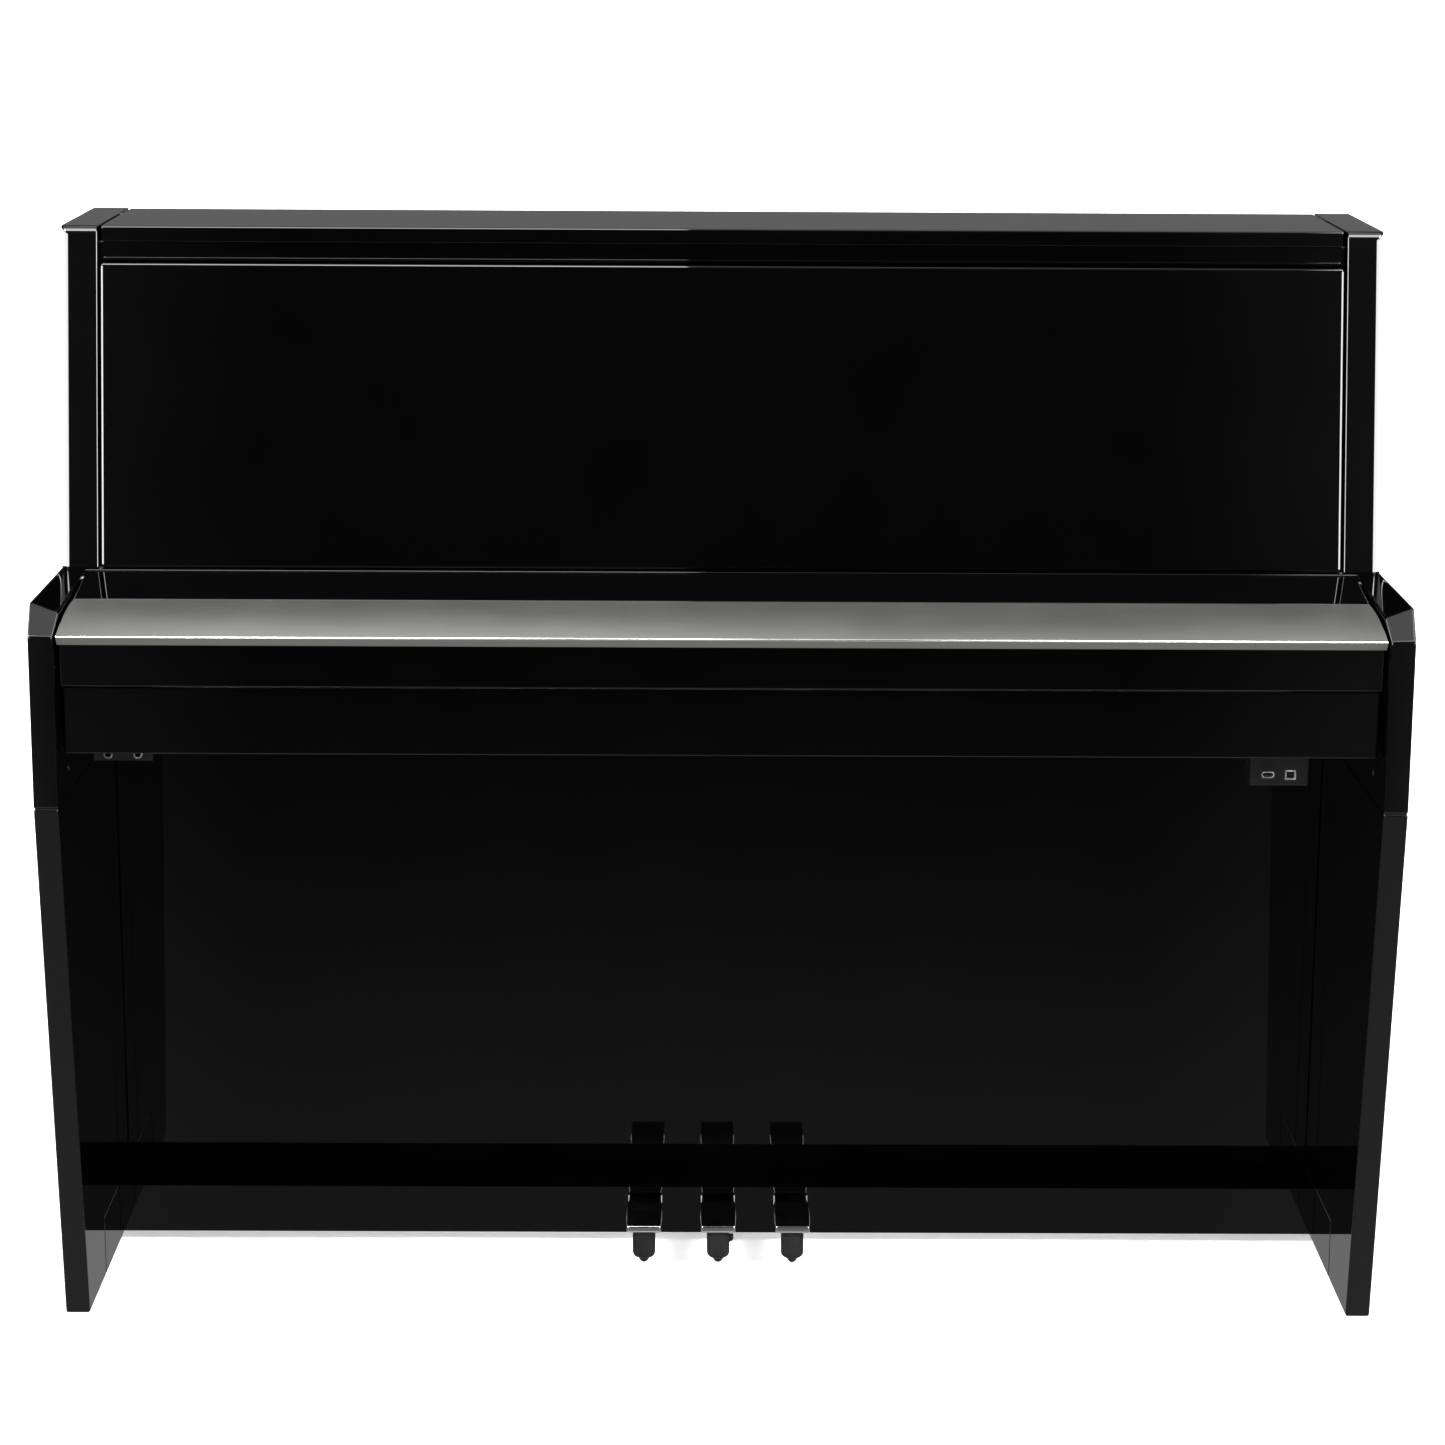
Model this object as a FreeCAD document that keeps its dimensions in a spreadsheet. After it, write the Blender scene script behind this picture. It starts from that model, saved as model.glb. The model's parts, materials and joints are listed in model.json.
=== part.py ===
import FreeCAD, Part
import os
import Sketcher
from math import cos, radians, sin, tan
from types import SimpleNamespace

# Digital upright piano: black cabinet, hinged fallboard and top lid, 88 keys and three pedals.
# Millimetres. +X is the player's right, -Y the player's side and +Z up. The origin lies on the floor,
# under the middle of the cabinet. Every size below is a cell of the sheet, and every sub-part is bound
# to those cells by expressions.

SIZES = {
    # cabinet
    "overall_width": 1470,           # over the legs
    "overall_depth": 520,            # front of the arms to the back edge of the sides
    "overall_height": 1200,
    "side_thickness": 27,            # legs, lower sides and arms
    "upper_side_thickness": 41,
    "arm_height": 828,               # top of the arms, where the upper cabinet starts
    "arm_nose_height": 794,          # top of the arm's upright front face
    "arm_nose_setback": 22.6,        # from the front face to the flat top, on the outside
    "arm_crest_setback": 42,         # from the front face to the crest, on the inside
    "arm_crest_height": 812,
    "arm_inner_height": 818.3,       # inner edge beside the trim's rear edge
    "knee_height": 606.5,            # joint between leg and arm
    "leg_setback": 83,               # foot of the leg behind the front of the arm
    "lower_side_depth": 210,         # rear side panel, from the back edge forward
    "toe_reach": 110,                # toe in front of the lower side
    "toe_height": 69,
    "upper_foot_depth": 298,         # upper sides at arm height
    "upper_top_depth": 231,          # upper sides at the top
    "board_thickness": 18,           # deck, rails and front panels
    "back_panel_thickness": 6,
    "back_panel_inset": 4,           # behind the back edges of the sides
    "back_panel_side_gap": 0.4,
    "back_panel_bottom": 20,
    "back_panel_top_gap": 1,         # below the top lid
    # upper front
    "front_panel_gap": 3,            # beside the upper front panel
    "front_panel_top_gap": 1,        # below the top rail
    "top_rail_height": 21,
    "top_rail_setback": 10,
    # top lid
    "top_lid_thickness": 17,
    "top_lid_side_gap": 4,
    "top_lid_rear_gap": 2,
    "top_lid_seat": 1,               # gap between the rail and the lid
    # fallboard
    "fallboard_thickness": 18,
    "fallboard_side_gap": 3,
    "fallboard_slope": 8.6,          # degrees, down towards the player
    "fallboard_pivot_setback": 14,   # pivot in front of the upper panel's foot
    "deck_lip_drop": 2,              # front lip of the deck below the arms' top
    "deck_lip_depth": 7,
    "deck_lip_gap": 2,               # behind the fallboard's round edge
    "fallboard_crown_gap": 0.5,      # top of the round edge below the deck's lip
    "trim_depth": 119,
    "trim_thickness": 3,
    "trim_nose_gap": 0.5,            # behind the front of the arms
    "trim_nose_depth": 7,            # from the nose to the start of the underside
    "trim_bottom_height": 784,
    "apron_setback": 22,             # front of the apron behind the front of the arms
    "apron_thickness": 16,
    "apron_gap": 3,                  # above the key slip
    # lid pivots
    "pivot_pin_radius": 4,
    "pivot_pin_engagement": 12,      # in the end of the lid
    "pivot_pin_anchor": 14,          # in the side
    "pivot_running_clearance": 0.05,
    "pin_seat_clearance": 0.02,
    "pin_end_gap": 0.5,
    # key bed
    "key_bed_bottom": 660,
    "key_bed_thickness": 25,
    "key_slip_height": 73,
    "key_slip_thickness": 16,
    "key_slip_setback": 32,
    # keyboard
    "octave_width": 165,
    "black_slot": 13.7,
    "key_gap": 1,
    "white_top_height": 747,
    "white_key_thickness": 22,
    "white_setback": 53,             # white key fronts behind the front of the arms
    "white_head_depth": 50,
    "white_visible_depth": 150,
    "key_pivot_depth": 222,          # white key fronts to the pivot bar
    "key_tail": 10,                  # behind the pivot bar
    "black_rise": 12,                # above the white keys
    "black_base_width": 11,
    "black_top_width": 9,
    "black_front_slope": 6,
    "black_cap_height": 14,
    "black_stem_width": 9.5,
    "key_pivot_radius": 4,
    "key_seat_clearance": 0.3,
    "key_frame_thickness": 3,
    "front_rail_height": 27,
    "front_rail_depth": 22,
    "front_rail_setback": 5,
    "pivot_rail_depth": 14,
    "pivot_rail_height": 31,
    "stop_felt_thickness": 3,
    "key_block_gap": 1.5,
    "key_block_height": 65,
    "name_board_thickness": 14,
    "name_board_gap": 3,
    "name_board_height": 50,
    "name_felt_thickness": 2,
    "name_felt_height": 6,
    "name_felt_gap": 1.2,
    # controls
    "button_radius": 7,
    "button_height": 9,
    "button_proud": 3,
    "button_well_depth": 8,
    "button_clearance": 0.3,
    "knob_radius": 11,
    "knob_height": 13,
    "knob_gap": 0.4,
    "knob_spindle_radius": 3,
    "knob_spindle_length": 12,
    "knob_well_depth": 14,
    "control_setback": 60,           # from the front of the key blocks
    # pedal board
    "ledge_depth": 76,               # pedal board's face to the knee panel
    "pedal_board_thickness": 14,
    "pedal_board_bottom": 12,
    "bottom_board_thickness": 16,
    "knee_panel_thickness": 15,
    "knee_panel_side_gap": 0.3,
    # pedals
    "pedal_spacing": 86,
    "pedal_width": 42,
    "pedal_reach": 108,              # in front of the pedal board
    "pedal_lip_bottom": 50.5,
    "pedal_lip_height": 10,
    "pedal_neck_depth": 8,
    "pedal_crest_height": 63,
    "lever_width": 22,
    "lever_bottom": 36.5,
    "lever_height": 11,
    "lever_tail": 10,
    "pedal_pivot_setback": 150,      # behind the pedal board's face
    "pedal_pivot_height": 42,
    "pedal_boss_radius": 7.5,
    "pedal_slot_width": 40,
    "pedal_slot_bottom": 29,
    "pedal_slot_top": 62,
    "axle_radius": 4,
    "axle_overhang": 6,
    "bracket_thickness": 2.5,
    "bracket_depth": 28,
    "bracket_ear_gap": 1.2,
    "bracket_ear_bottom": 33,
    "bracket_plate_thickness": 3,
    "spring_inner_radius": 4.5,
    "spring_wire": 1.8,
    "spring_coils": 7,
    "spring_gap": 1,
    "stopper_radius": 13.25,
    "stopper_setback": 16,           # axis behind the pedal's front
    "stopper_shoulder_height": 25,
    "stopper_tip_height": 11,
    "stopper_tip_radius": 7.5,
    "foot_radius": 11,
    "foot_height": 9,
    "foot_offset": 8,                # beside the middle pedal
    "foot_stem_radius": 4,
    "foot_stem_height": 24,
    "foot_stem_clearance": 0.1,
    "foot_seat_gap": 0.5,
    # connections
    "port_setback": 60,              # boxes under the key bed, behind the front of the arms
    "port_box_depth": 50,
    "usb_box_width": 63,
    "usb_box_height": 37,
    "usb_box_end_gap": 72,           # from the arm
    "usb_port_drop": 25,             # port centres below the key bed
    "usb_a_width": 14.5,
    "usb_a_height": 7,
    "usb_b_width": 12,
    "usb_b_height": 10.8,
    "usb_port_depth": 15,
    "usb_port_spacing": 24.4,
    "phones_box_width": 64,
    "phones_box_height": 14,
    "phones_box_end_gap": 29,        # from the arm
    "jack_radius": 3.2,
    "jack_depth": 16,
    "jack_spacing": 32,
    "inlet_width": 28,
    "inlet_height": 21,
    "inlet_depth": 26,
    "inlet_cavity_width": 23,
    "inlet_cavity_height": 15,
    "inlet_cavity_depth": 18,
    "inlet_flange": 8,
    "inlet_flange_thickness": 2,
    "inlet_offset": 520,
    "inlet_level": 720,
    # inside
    "board_length": 480,
    "circuit_board_depth": 130,
    "circuit_board_thickness": 1.6,
    "standoff_height": 6,
    "standoff_radius": 4,
    "supply_length": 180,
    "supply_depth": 95,
    "supply_height": 40,
    "speaker_offset": 420,
    "woofer_radius": 82,
    "woofer_level": 330,
    "woofer_depth": 72,
    "driver_radius": 52,
    "driver_level": 990,
    "driver_depth": 46,
    "speaker_flange": 4,
    "vent_length": 110,
    "vent_height": 5,
    "vent_pitch": 16,
    "screw_head_radius": 5,
    "screw_head_height": 2,
    "screw_shank_radius": 2,
    "screw_margin": 12,
}

doc = FreeCAD.newDocument("upright_piano")
sheet = doc.addObject("Spreadsheet::Sheet", "Sizes")
for row, (alias, number) in enumerate(SIZES.items(), start=1):
    sheet.set(f"A{row}", alias)
    sheet.set(f"B{row}", str(number))
    sheet.setAlias(f"B{row}", alias)
doc.recompute()


class Dim:
    """A number together with the sheet expression that it comes from."""

    def __init__(self, value, text=None):
        self.value = float(value)
        self.text = str(value) if text is None else text

    def joined(self, sign, other, value):
        return Dim(value, f"({self.text} {sign} {other.text})")

    def __add__(self, other):
        other = asDim(other)
        return self.joined("+", other, self.value + other.value)

    def __sub__(self, other):
        other = asDim(other)
        return self.joined("-", other, self.value - other.value)

    def __mul__(self, other):
        other = asDim(other)
        return self.joined("*", other, self.value * other.value)

    def __truediv__(self, other):
        other = asDim(other)
        return self.joined("/", other, self.value / other.value)

    def __neg__(self):
        return Dim(-self.value, f"(0 - {self.text})")

    def __radd__(self, other):
        return asDim(other) + self

    def __rsub__(self, other):
        return asDim(other) - self


def asDim(value):
    return value if isinstance(value, Dim) else Dim(value)


def sine(angle):
    return Dim(sin(radians(angle.value)), f"sin({angle.text} * 1 deg)")


def cosine(angle):
    return Dim(cos(radians(angle.value)), f"cos({angle.text} * 1 deg)")


def tangent(angle):
    return Dim(tan(radians(angle.value)), f"tan({angle.text} * 1 deg)")


size = SimpleNamespace(**{alias: Dim(number, f"Sizes.{alias}") for alias, number in SIZES.items()})
ZERO = Dim(0)
NODES = []


# ---------------------------------------------------------------- building blocks

def bind(obj, path, value):
    obj.setExpression(path, asDim(value).text)


def place(obj, x=ZERO, y=ZERO, z=ZERO):
    for axis, value in zip("xyz", (x, y, z)):
        bind(obj, f"Placement.Base.{axis}", value)


def node(obj, label):
    obj.Label = label
    NODES.append(obj)
    return obj


def newBody(label):
    body = doc.addObject("PartDesign::Body", label)
    body.Label = label
    return body


def originPart(body, role):
    return next(item for item in body.Origin.OriginFeatures if item.Role == role)


def newSketch(body, plane, offset=ZERO):
    """A sketch on one of the body's own planes, moved along the plane's normal."""
    sketch = body.newObject("Sketcher::SketchObject", f"{body.Label}_sketch")
    sketch.AttachmentSupport = [(originPart(body, plane), "")]
    sketch.MapMode = "FlatFace"
    bind(sketch, "AttachmentOffset.Base.z", offset)
    return sketch


def pinPoint(sketch, geometry, position, u, v):
    """Hold one point of the sketch at u, v from the sketch's origin."""
    u, v = asDim(u), asDim(v)
    first = sketch.ConstraintCount
    sketch.addConstraint([
        Sketcher.Constraint("DistanceX", -1, 1, geometry, position, u.value),
        Sketcher.Constraint("DistanceY", -1, 1, geometry, position, v.value),
    ])
    sketch.setExpression(f"Constraints[{first}]", u.text)
    sketch.setExpression(f"Constraints[{first + 1}]", v.text)


def outline(sketch, points):
    """A closed outline of straight lines through the points."""
    first = sketch.GeometryCount
    count = len(points)
    corners = [FreeCAD.Vector(asDim(u).value, asDim(v).value, 0) for u, v in points]
    sketch.addGeometry([Part.LineSegment(corners[i], corners[(i + 1) % count]) for i in range(count)])
    sketch.addConstraint([
        Sketcher.Constraint("Coincident", first + i, 2, first + (i + 1) % count, 1) for i in range(count)
    ])
    for i, (u, v) in enumerate(points):
        pinPoint(sketch, first + i, 1, u, v)


def rectangle(sketch, u0, u1, v0, v1):
    outline(sketch, [(u0, v0), (u1, v0), (u1, v1), (u0, v1)])


def circle(sketch, u, v, radius):
    u, v, radius = asDim(u), asDim(v), asDim(radius)
    geometry = sketch.addGeometry(
        Part.Circle(FreeCAD.Vector(u.value, v.value, 0), FreeCAD.Vector(0, 0, 1), radius.value))
    pinPoint(sketch, geometry, 3, u, v)
    sketch.addConstraint(Sketcher.Constraint("Radius", geometry, radius.value))
    sketch.setExpression(f"Constraints[{sketch.ConstraintCount - 1}]", radius.text)


def pad(body, sketch, length, kind="Pad", backwards=False):
    feature = body.newObject(f"PartDesign::{kind}", f"{body.Label}_{kind.lower()}")
    feature.Profile = sketch
    feature.Type = 0
    feature.Reversed = backwards
    bind(feature, "Length", length)
    sketch.Visibility = False
    return feature


def pocket(body, sketch, depth, backwards=False):
    """Cut against the sketch's normal, or along it when backwards."""
    return pad(body, sketch, depth, "Pocket", backwards)


def revolve(body, sketch, axis):
    """Turn the sketch once round its own horizontal (H_Axis) or vertical (V_Axis) axis."""
    feature = body.newObject("PartDesign::Revolution", f"{body.Label}_turning")
    feature.Profile = sketch
    feature.ReferenceAxis = (sketch, [axis])
    feature.Angle = 360
    return feature


def box(name, x0, x1, y0, y1, z0, z1):
    solid = doc.addObject("Part::Box", name)
    for side, low, high in (("Length", x0, x1), ("Width", y0, y1), ("Height", z0, z1)):
        bind(solid, side, high - low)
    place(solid, asDim(x0), asDim(y0), asDim(z0))
    return solid


def board(label, x0, x1, y0, y1, z0, z1):
    """A plain board that is a node of its own."""
    return node(box(label, x0, x1, y0, y1, z0, z1), label)


def sideShape(label, points, x0, x1):
    """A piece of one Y-Z outline, from x0 to x1."""
    body = newBody(label)
    sketch = newSketch(body, "YZ_Plane", x0)
    outline(sketch, points)
    pad(body, sketch, x1 - x0)
    return body


def planShape(label, points, z0, z1):
    """A piece of one X-Y outline, from z0 to z1."""
    body = newBody(label)
    sketch = newSketch(body, "XY_Plane", z0)
    outline(sketch, points)
    pad(body, sketch, z1 - z0)
    return body


def drillAlongX(body, x, y, z, radius, depth, towardsPlus):
    """A blind round hole from the plane at x."""
    sketch = newSketch(body, "YZ_Plane", x)
    circle(sketch, y, z, radius)
    pocket(body, sketch, depth, backwards=towardsPlus)


def fuse(label, parts):
    joined = doc.addObject("Part::MultiFuse", label)
    joined.Shapes = parts
    return node(joined, label)


def group(label, parts):
    """Separate solids that share one node."""
    together = doc.addObject("Part::Compound", label)
    together.Links = parts
    return node(together, label)


def rod(name, x0, x1, y, z, radius):
    """A round bar along X."""
    bar = doc.addObject("Part::Cylinder", name)
    bind(bar, "Radius", radius)
    bind(bar, "Height", x1 - x0)
    bar.Placement = FreeCAD.Placement(FreeCAD.Vector(), FreeCAD.Rotation(FreeCAD.Vector(0, 1, 0), 90))
    place(bar, x0, y, z)
    return bar


# ---------------------------------------------------------------- shared planes

halfWidth = size.overall_width / 2
front = -(size.overall_depth / 2)
rear = size.overall_depth / 2
sideInner = halfWidth - size.side_thickness
upperInner = halfWidth - size.upper_side_thickness
lowerFront = rear - size.lower_side_depth
toeFront = lowerFront - size.toe_reach
upperFoot = rear - size.upper_foot_depth
upperTop = rear - size.upper_top_depth
backFace = rear - size.back_panel_inset - size.back_panel_thickness
lidBottom = size.overall_height - size.top_lid_thickness
deckBottom = size.arm_height - size.deck_lip_drop - size.board_thickness
keyBedTop = size.key_bed_bottom + size.key_bed_thickness
slipFront = front + size.key_slip_setback
slipRear = slipFront + size.key_slip_thickness


def leaningFront(z):
    """Y of the upper cabinet's leaning front at height z."""
    rise = size.overall_height - size.arm_height
    return upperFoot + (z - size.arm_height) * (upperTop - upperFoot) / rise


# fallboard pivot, on the axis of its round rear edge
fallRadius = size.fallboard_thickness / 2
fallPivotY = upperFoot - size.fallboard_pivot_setback
fallPivotZ = size.arm_height - size.deck_lip_drop - size.fallboard_crown_gap - fallRadius
fallSine = sine(size.fallboard_slope)
fallCosine = cosine(size.fallboard_slope)
fallTangent = tangent(size.fallboard_slope)
trimRear = front + size.trim_depth


def fallTop(y):
    """Height of the fallboard's upper plane at y."""
    return fallPivotZ + fallRadius / fallCosine - (fallPivotY - y) * fallTangent


def fallUnder(y):
    """Height of the fallboard's lower plane at y."""
    return fallTop(y) - size.fallboard_thickness / fallCosine


# top lid pivot, on the axis of its round rear edge
lidRadius = size.top_lid_thickness / 2
lidPivotY = rear - size.top_lid_rear_gap - lidRadius
lidPivotZ = size.overall_height - lidRadius
lidEnd = upperInner - size.top_lid_side_gap
fallEnd = sideInner - size.fallboard_side_gap


# ---------------------------------------------------------------- cabinet sides

legOutline = [
    (front + size.leg_setback, ZERO),
    (toeFront, ZERO),
    (toeFront, size.toe_height),
    (lowerFront, size.toe_height),
    (lowerFront, size.knee_height),
    (front, size.knee_height),
]
lowerSideOutline = [
    (toeFront, ZERO),
    (rear, ZERO),
    (rear, size.knee_height),
    (lowerFront, size.knee_height),
    (lowerFront, size.toe_height),
    (toeFront, size.toe_height),
]
upperSideOutline = [
    (upperFoot, size.arm_height),
    (rear, size.arm_height),
    (rear, size.overall_height),
    (upperTop, size.overall_height),
]
armOuterOutline = [
    (front, size.knee_height),
    (front, size.arm_nose_height),
    (front + size.arm_nose_setback, size.arm_height),
    (trimRear, size.arm_height),
    (upperFoot, size.arm_height),
    (rear, size.arm_height),
    (rear, size.knee_height),
]
armInnerOutline = [
    (front, size.knee_height),
    (front, size.arm_nose_height),
    (front + size.arm_crest_setback, size.arm_crest_height),
    (trimRear, size.arm_inner_height),
    (upperFoot, size.arm_height),
    (rear, size.arm_height),
    (rear, size.knee_height),
]


def arm(label, inner, outer, towardsPlus):
    """An arm: its top falls from the flat outer edge to a lower edge beside the fallboard."""
    body = newBody(label)
    innerSketch = newSketch(body, "YZ_Plane", inner)
    outline(innerSketch, armInnerOutline)
    outerSketch = newSketch(body, "YZ_Plane", outer)
    outline(outerSketch, armOuterOutline)
    loft = body.newObject("PartDesign::AdditiveLoft", f"{label}_loft")
    loft.Profile = innerSketch
    loft.Sections = [outerSketch]
    loft.Ruled = True
    drillAlongX(body, inner, fallPivotY, fallPivotZ, size.pivot_pin_radius + size.pin_seat_clearance,
                size.pivot_pin_anchor + size.pin_end_gap, towardsPlus)
    return node(body, label)


def upperSide(label, x0, x1, inner, towardsPlus):
    body = sideShape(label, upperSideOutline, x0, x1)
    drillAlongX(body, inner, lidPivotY, lidPivotZ, size.pivot_pin_radius + size.pin_seat_clearance,
                size.pivot_pin_anchor + size.pin_end_gap, towardsPlus)
    return node(body, label)


for hand, low, high in (("left", -halfWidth, -sideInner), ("right", sideInner, halfWidth)):
    node(sideShape(f"{hand}_leg", legOutline, low, high), f"{hand}_leg")
    node(sideShape(f"{hand}_lower_side", lowerSideOutline, low, high), f"{hand}_lower_side")
arm("left_arm", -sideInner, -halfWidth, False)
arm("right_arm", sideInner, halfWidth, True)
upperSide("left_upper_side", -halfWidth, -upperInner, -upperInner, False)
upperSide("right_upper_side", upperInner, halfWidth, upperInner, True)


# ---------------------------------------------------------------- cabinet boards

deckFront = fallPivotY + fallRadius + size.deck_lip_gap
lipTop = size.arm_height - size.deck_lip_drop
lipRear = deckFront + size.deck_lip_depth
deck = sideShape("deck", [
    (deckFront, deckBottom),
    (backFace, deckBottom),
    (backFace, size.arm_height),
    (lipRear, size.arm_height),
    (lipRear, lipTop),
    (deckFront, lipTop),
], -sideInner, sideInner)
node(deck, "deck")

railTop = lidBottom - size.top_lid_seat
railBottom = railTop - size.top_rail_height
panelTop = railBottom - size.front_panel_top_gap
panelEnd = upperInner - size.front_panel_gap
node(sideShape("upper_front_panel", [
    (leaningFront(size.arm_height), size.arm_height),
    (leaningFront(size.arm_height) + size.board_thickness, size.arm_height),
    (leaningFront(panelTop) + size.board_thickness, panelTop),
    (leaningFront(panelTop), panelTop),
], -panelEnd, panelEnd), "upper_front_panel")

railFront = upperTop + size.top_rail_setback
board("top_rail", -upperInner, upperInner, railFront, railFront + size.board_thickness,
      railBottom, railTop)

board("key_bed", -sideInner, sideInner, slipRear, backFace, size.key_bed_bottom, keyBedTop)
board("key_slip", -fallEnd, fallEnd, slipFront, slipRear,
      size.key_bed_bottom, size.key_bed_bottom + size.key_slip_height)

bottomTop = size.toe_height
boardRear = lowerFront + size.pedal_board_thickness
kneeFront = lowerFront + size.ledge_depth
board("bottom_board", -sideInner, sideInner, boardRear, backFace,
      bottomTop - size.bottom_board_thickness, bottomTop)
kneeEnd = sideInner - size.knee_panel_side_gap
board("knee_panel", -kneeEnd, kneeEnd, kneeFront, kneeFront + size.knee_panel_thickness,
      bottomTop, size.key_bed_bottom)


# ---------------------------------------------------------------- back panel

backEnd = upperInner - size.back_panel_side_gap
backTop = lidBottom - size.back_panel_top_gap
backOuter = backFace + size.back_panel_thickness
shoulderTop = size.arm_height - size.back_panel_side_gap
screwX = [-(backEnd - size.screw_margin), ZERO, backEnd - size.screw_margin]
screwZ = [
    bottomTop - size.bottom_board_thickness / 2,
    size.key_bed_bottom + size.key_bed_thickness / 2,
    deckBottom + size.board_thickness / 2,
]


def backPanel():
    body = newBody("back_panel")
    sheetSketch = newSketch(body, "XZ_Plane", -backOuter)
    wideEnd = sideInner - size.back_panel_side_gap
    outline(sheetSketch, [
        (-wideEnd, size.back_panel_bottom),
        (wideEnd, size.back_panel_bottom),
        (wideEnd, shoulderTop),
        (backEnd, shoulderTop),
        (backEnd, backTop),
        (-backEnd, backTop),
        (-backEnd, shoulderTop),
        (-wideEnd, shoulderTop),
    ])
    pad(body, sheetSketch, size.back_panel_thickness)
    holes = newSketch(body, "XZ_Plane", -backOuter)
    rectangle(holes, size.inlet_offset - size.inlet_width / 2, size.inlet_offset + size.inlet_width / 2,
              size.inlet_level - size.inlet_height / 2, size.inlet_level + size.inlet_height / 2)
    for x in screwX:
        for z in screwZ:
            circle(holes, x, z, size.screw_shank_radius + size.pin_seat_clearance)
    for side in (-1, 1):
        for level, rows in ((size.woofer_level, 7), (size.driver_level, 5)):
            for step in range(rows):
                middle = level + size.vent_pitch * (step - (rows - 1) / 2)
                rectangle(holes, size.speaker_offset * side - size.vent_length / 2,
                          size.speaker_offset * side + size.vent_length / 2,
                          middle - size.vent_height / 2, middle + size.vent_height / 2)
    pocket(body, holes, size.back_panel_thickness, backwards=True)
    return node(body, "back_panel")


def turnedAlongY(label, points, x, y, z):
    """A turned piece whose axis runs along Y; points are (radius, distance along +Y)."""
    body = newBody(label)
    sketch = newSketch(body, "XY_Plane")
    outline(sketch, points)
    revolve(body, sketch, "V_Axis")
    place(body, x, y, z)
    return body


backPanel()
screwOutline = [
    (ZERO, -size.back_panel_thickness),
    (size.screw_shank_radius, -size.back_panel_thickness),
    (size.screw_shank_radius, ZERO),
    (size.screw_head_radius, ZERO),
    (size.screw_head_radius - size.screw_head_height / 2, size.screw_head_height),
    (ZERO, size.screw_head_height),
]
screws = [turnedAlongY("screw", screwOutline, x, backOuter, z) for x in screwX for z in screwZ]
group("back_panel_screws", screws)


def speakerOutline(radius, depth):
    """Flange on the back panel, conical basket and magnet, going forward."""
    magnet = depth / 3
    return [
        (ZERO, ZERO),
        (radius, ZERO),
        (radius, -size.speaker_flange),
        (radius * 0.9, -size.speaker_flange),
        (radius * 0.5, magnet - depth),
        (radius * 0.55, magnet - depth),
        (radius * 0.55, -depth),
        (ZERO, -depth),
    ]


group("speakers", [
    turnedAlongY("speaker", speakerOutline(radius, depth), size.speaker_offset * side, backFace, level)
    for side in (-1, 1)
    for radius, depth, level in (
        (size.woofer_radius, size.woofer_depth, size.woofer_level),
        (size.driver_radius, size.driver_depth, size.driver_level),
    )
])


# ---------------------------------------------------------------- lids

def roundEdge(body, y, z, radius, x0, x1):
    """A rounded rear edge, concentric with the pivot."""
    sketch = newSketch(body, "YZ_Plane", x0)
    circle(sketch, y, z, radius)
    pad(body, sketch, x1 - x0)


def pivotBores(body, end, y, z):
    radius = size.pivot_pin_radius + size.pivot_running_clearance
    depth = size.pivot_pin_engagement + size.pin_end_gap
    drillAlongX(body, end, y, z, radius, depth, False)
    drillAlongX(body, -end, y, z, radius, depth, True)


def topLid():
    body = sideShape("top_lid", [
        (upperTop, lidBottom),
        (lidPivotY, lidBottom),
        (lidPivotY, size.overall_height),
        (upperTop, size.overall_height),
    ], -lidEnd, lidEnd)
    roundEdge(body, lidPivotY, lidPivotZ, lidRadius, -lidEnd, lidEnd)
    pivotBores(body, lidEnd, lidPivotY, lidPivotZ)
    return node(body, "top_lid")


noseY = front + size.trim_nose_gap
underNoseY = noseY + size.trim_nose_depth
apronFront = front + size.apron_setback
apronRear = apronFront + size.apron_thickness
apronBottom = size.key_bed_bottom + size.key_slip_height + size.apron_gap
coreNoseY = noseY + size.trim_thickness
coreUnderY = underNoseY + size.trim_thickness / 2
coreUnderZ = size.trim_bottom_height + size.trim_thickness


def fallboard():
    body = sideShape("fallboard", [
        (fallPivotY - fallRadius * fallSine, fallPivotZ + fallRadius * fallCosine),
        (trimRear, fallTop(trimRear)),
        (trimRear, fallTop(trimRear) - size.trim_thickness),
        (coreNoseY, fallTop(coreNoseY) - size.trim_thickness),
        (coreUnderY, coreUnderZ),
        (apronFront, coreUnderZ),
        (apronFront, apronBottom),
        (apronRear, apronBottom),
        (apronRear, fallUnder(apronRear)),
        (fallPivotY + fallRadius * fallSine, fallPivotZ - fallRadius * fallCosine),
    ], -fallEnd, fallEnd)
    roundEdge(body, fallPivotY, fallPivotZ, fallRadius, -fallEnd, fallEnd)
    pivotBores(body, fallEnd, fallPivotY, fallPivotZ)
    return node(body, "fallboard")


def fallboardTrim():
    body = sideShape("fallboard_trim", [
        (trimRear, fallTop(trimRear)),
        (noseY, fallTop(noseY)),
        (underNoseY, size.trim_bottom_height),
        (apronFront, size.trim_bottom_height),
        (apronFront, coreUnderZ),
        (coreUnderY, coreUnderZ),
        (coreNoseY, fallTop(coreNoseY) - size.trim_thickness),
        (trimRear, fallTop(trimRear) - size.trim_thickness),
    ], -fallEnd, fallEnd)
    return node(body, "fallboard_trim")


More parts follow.
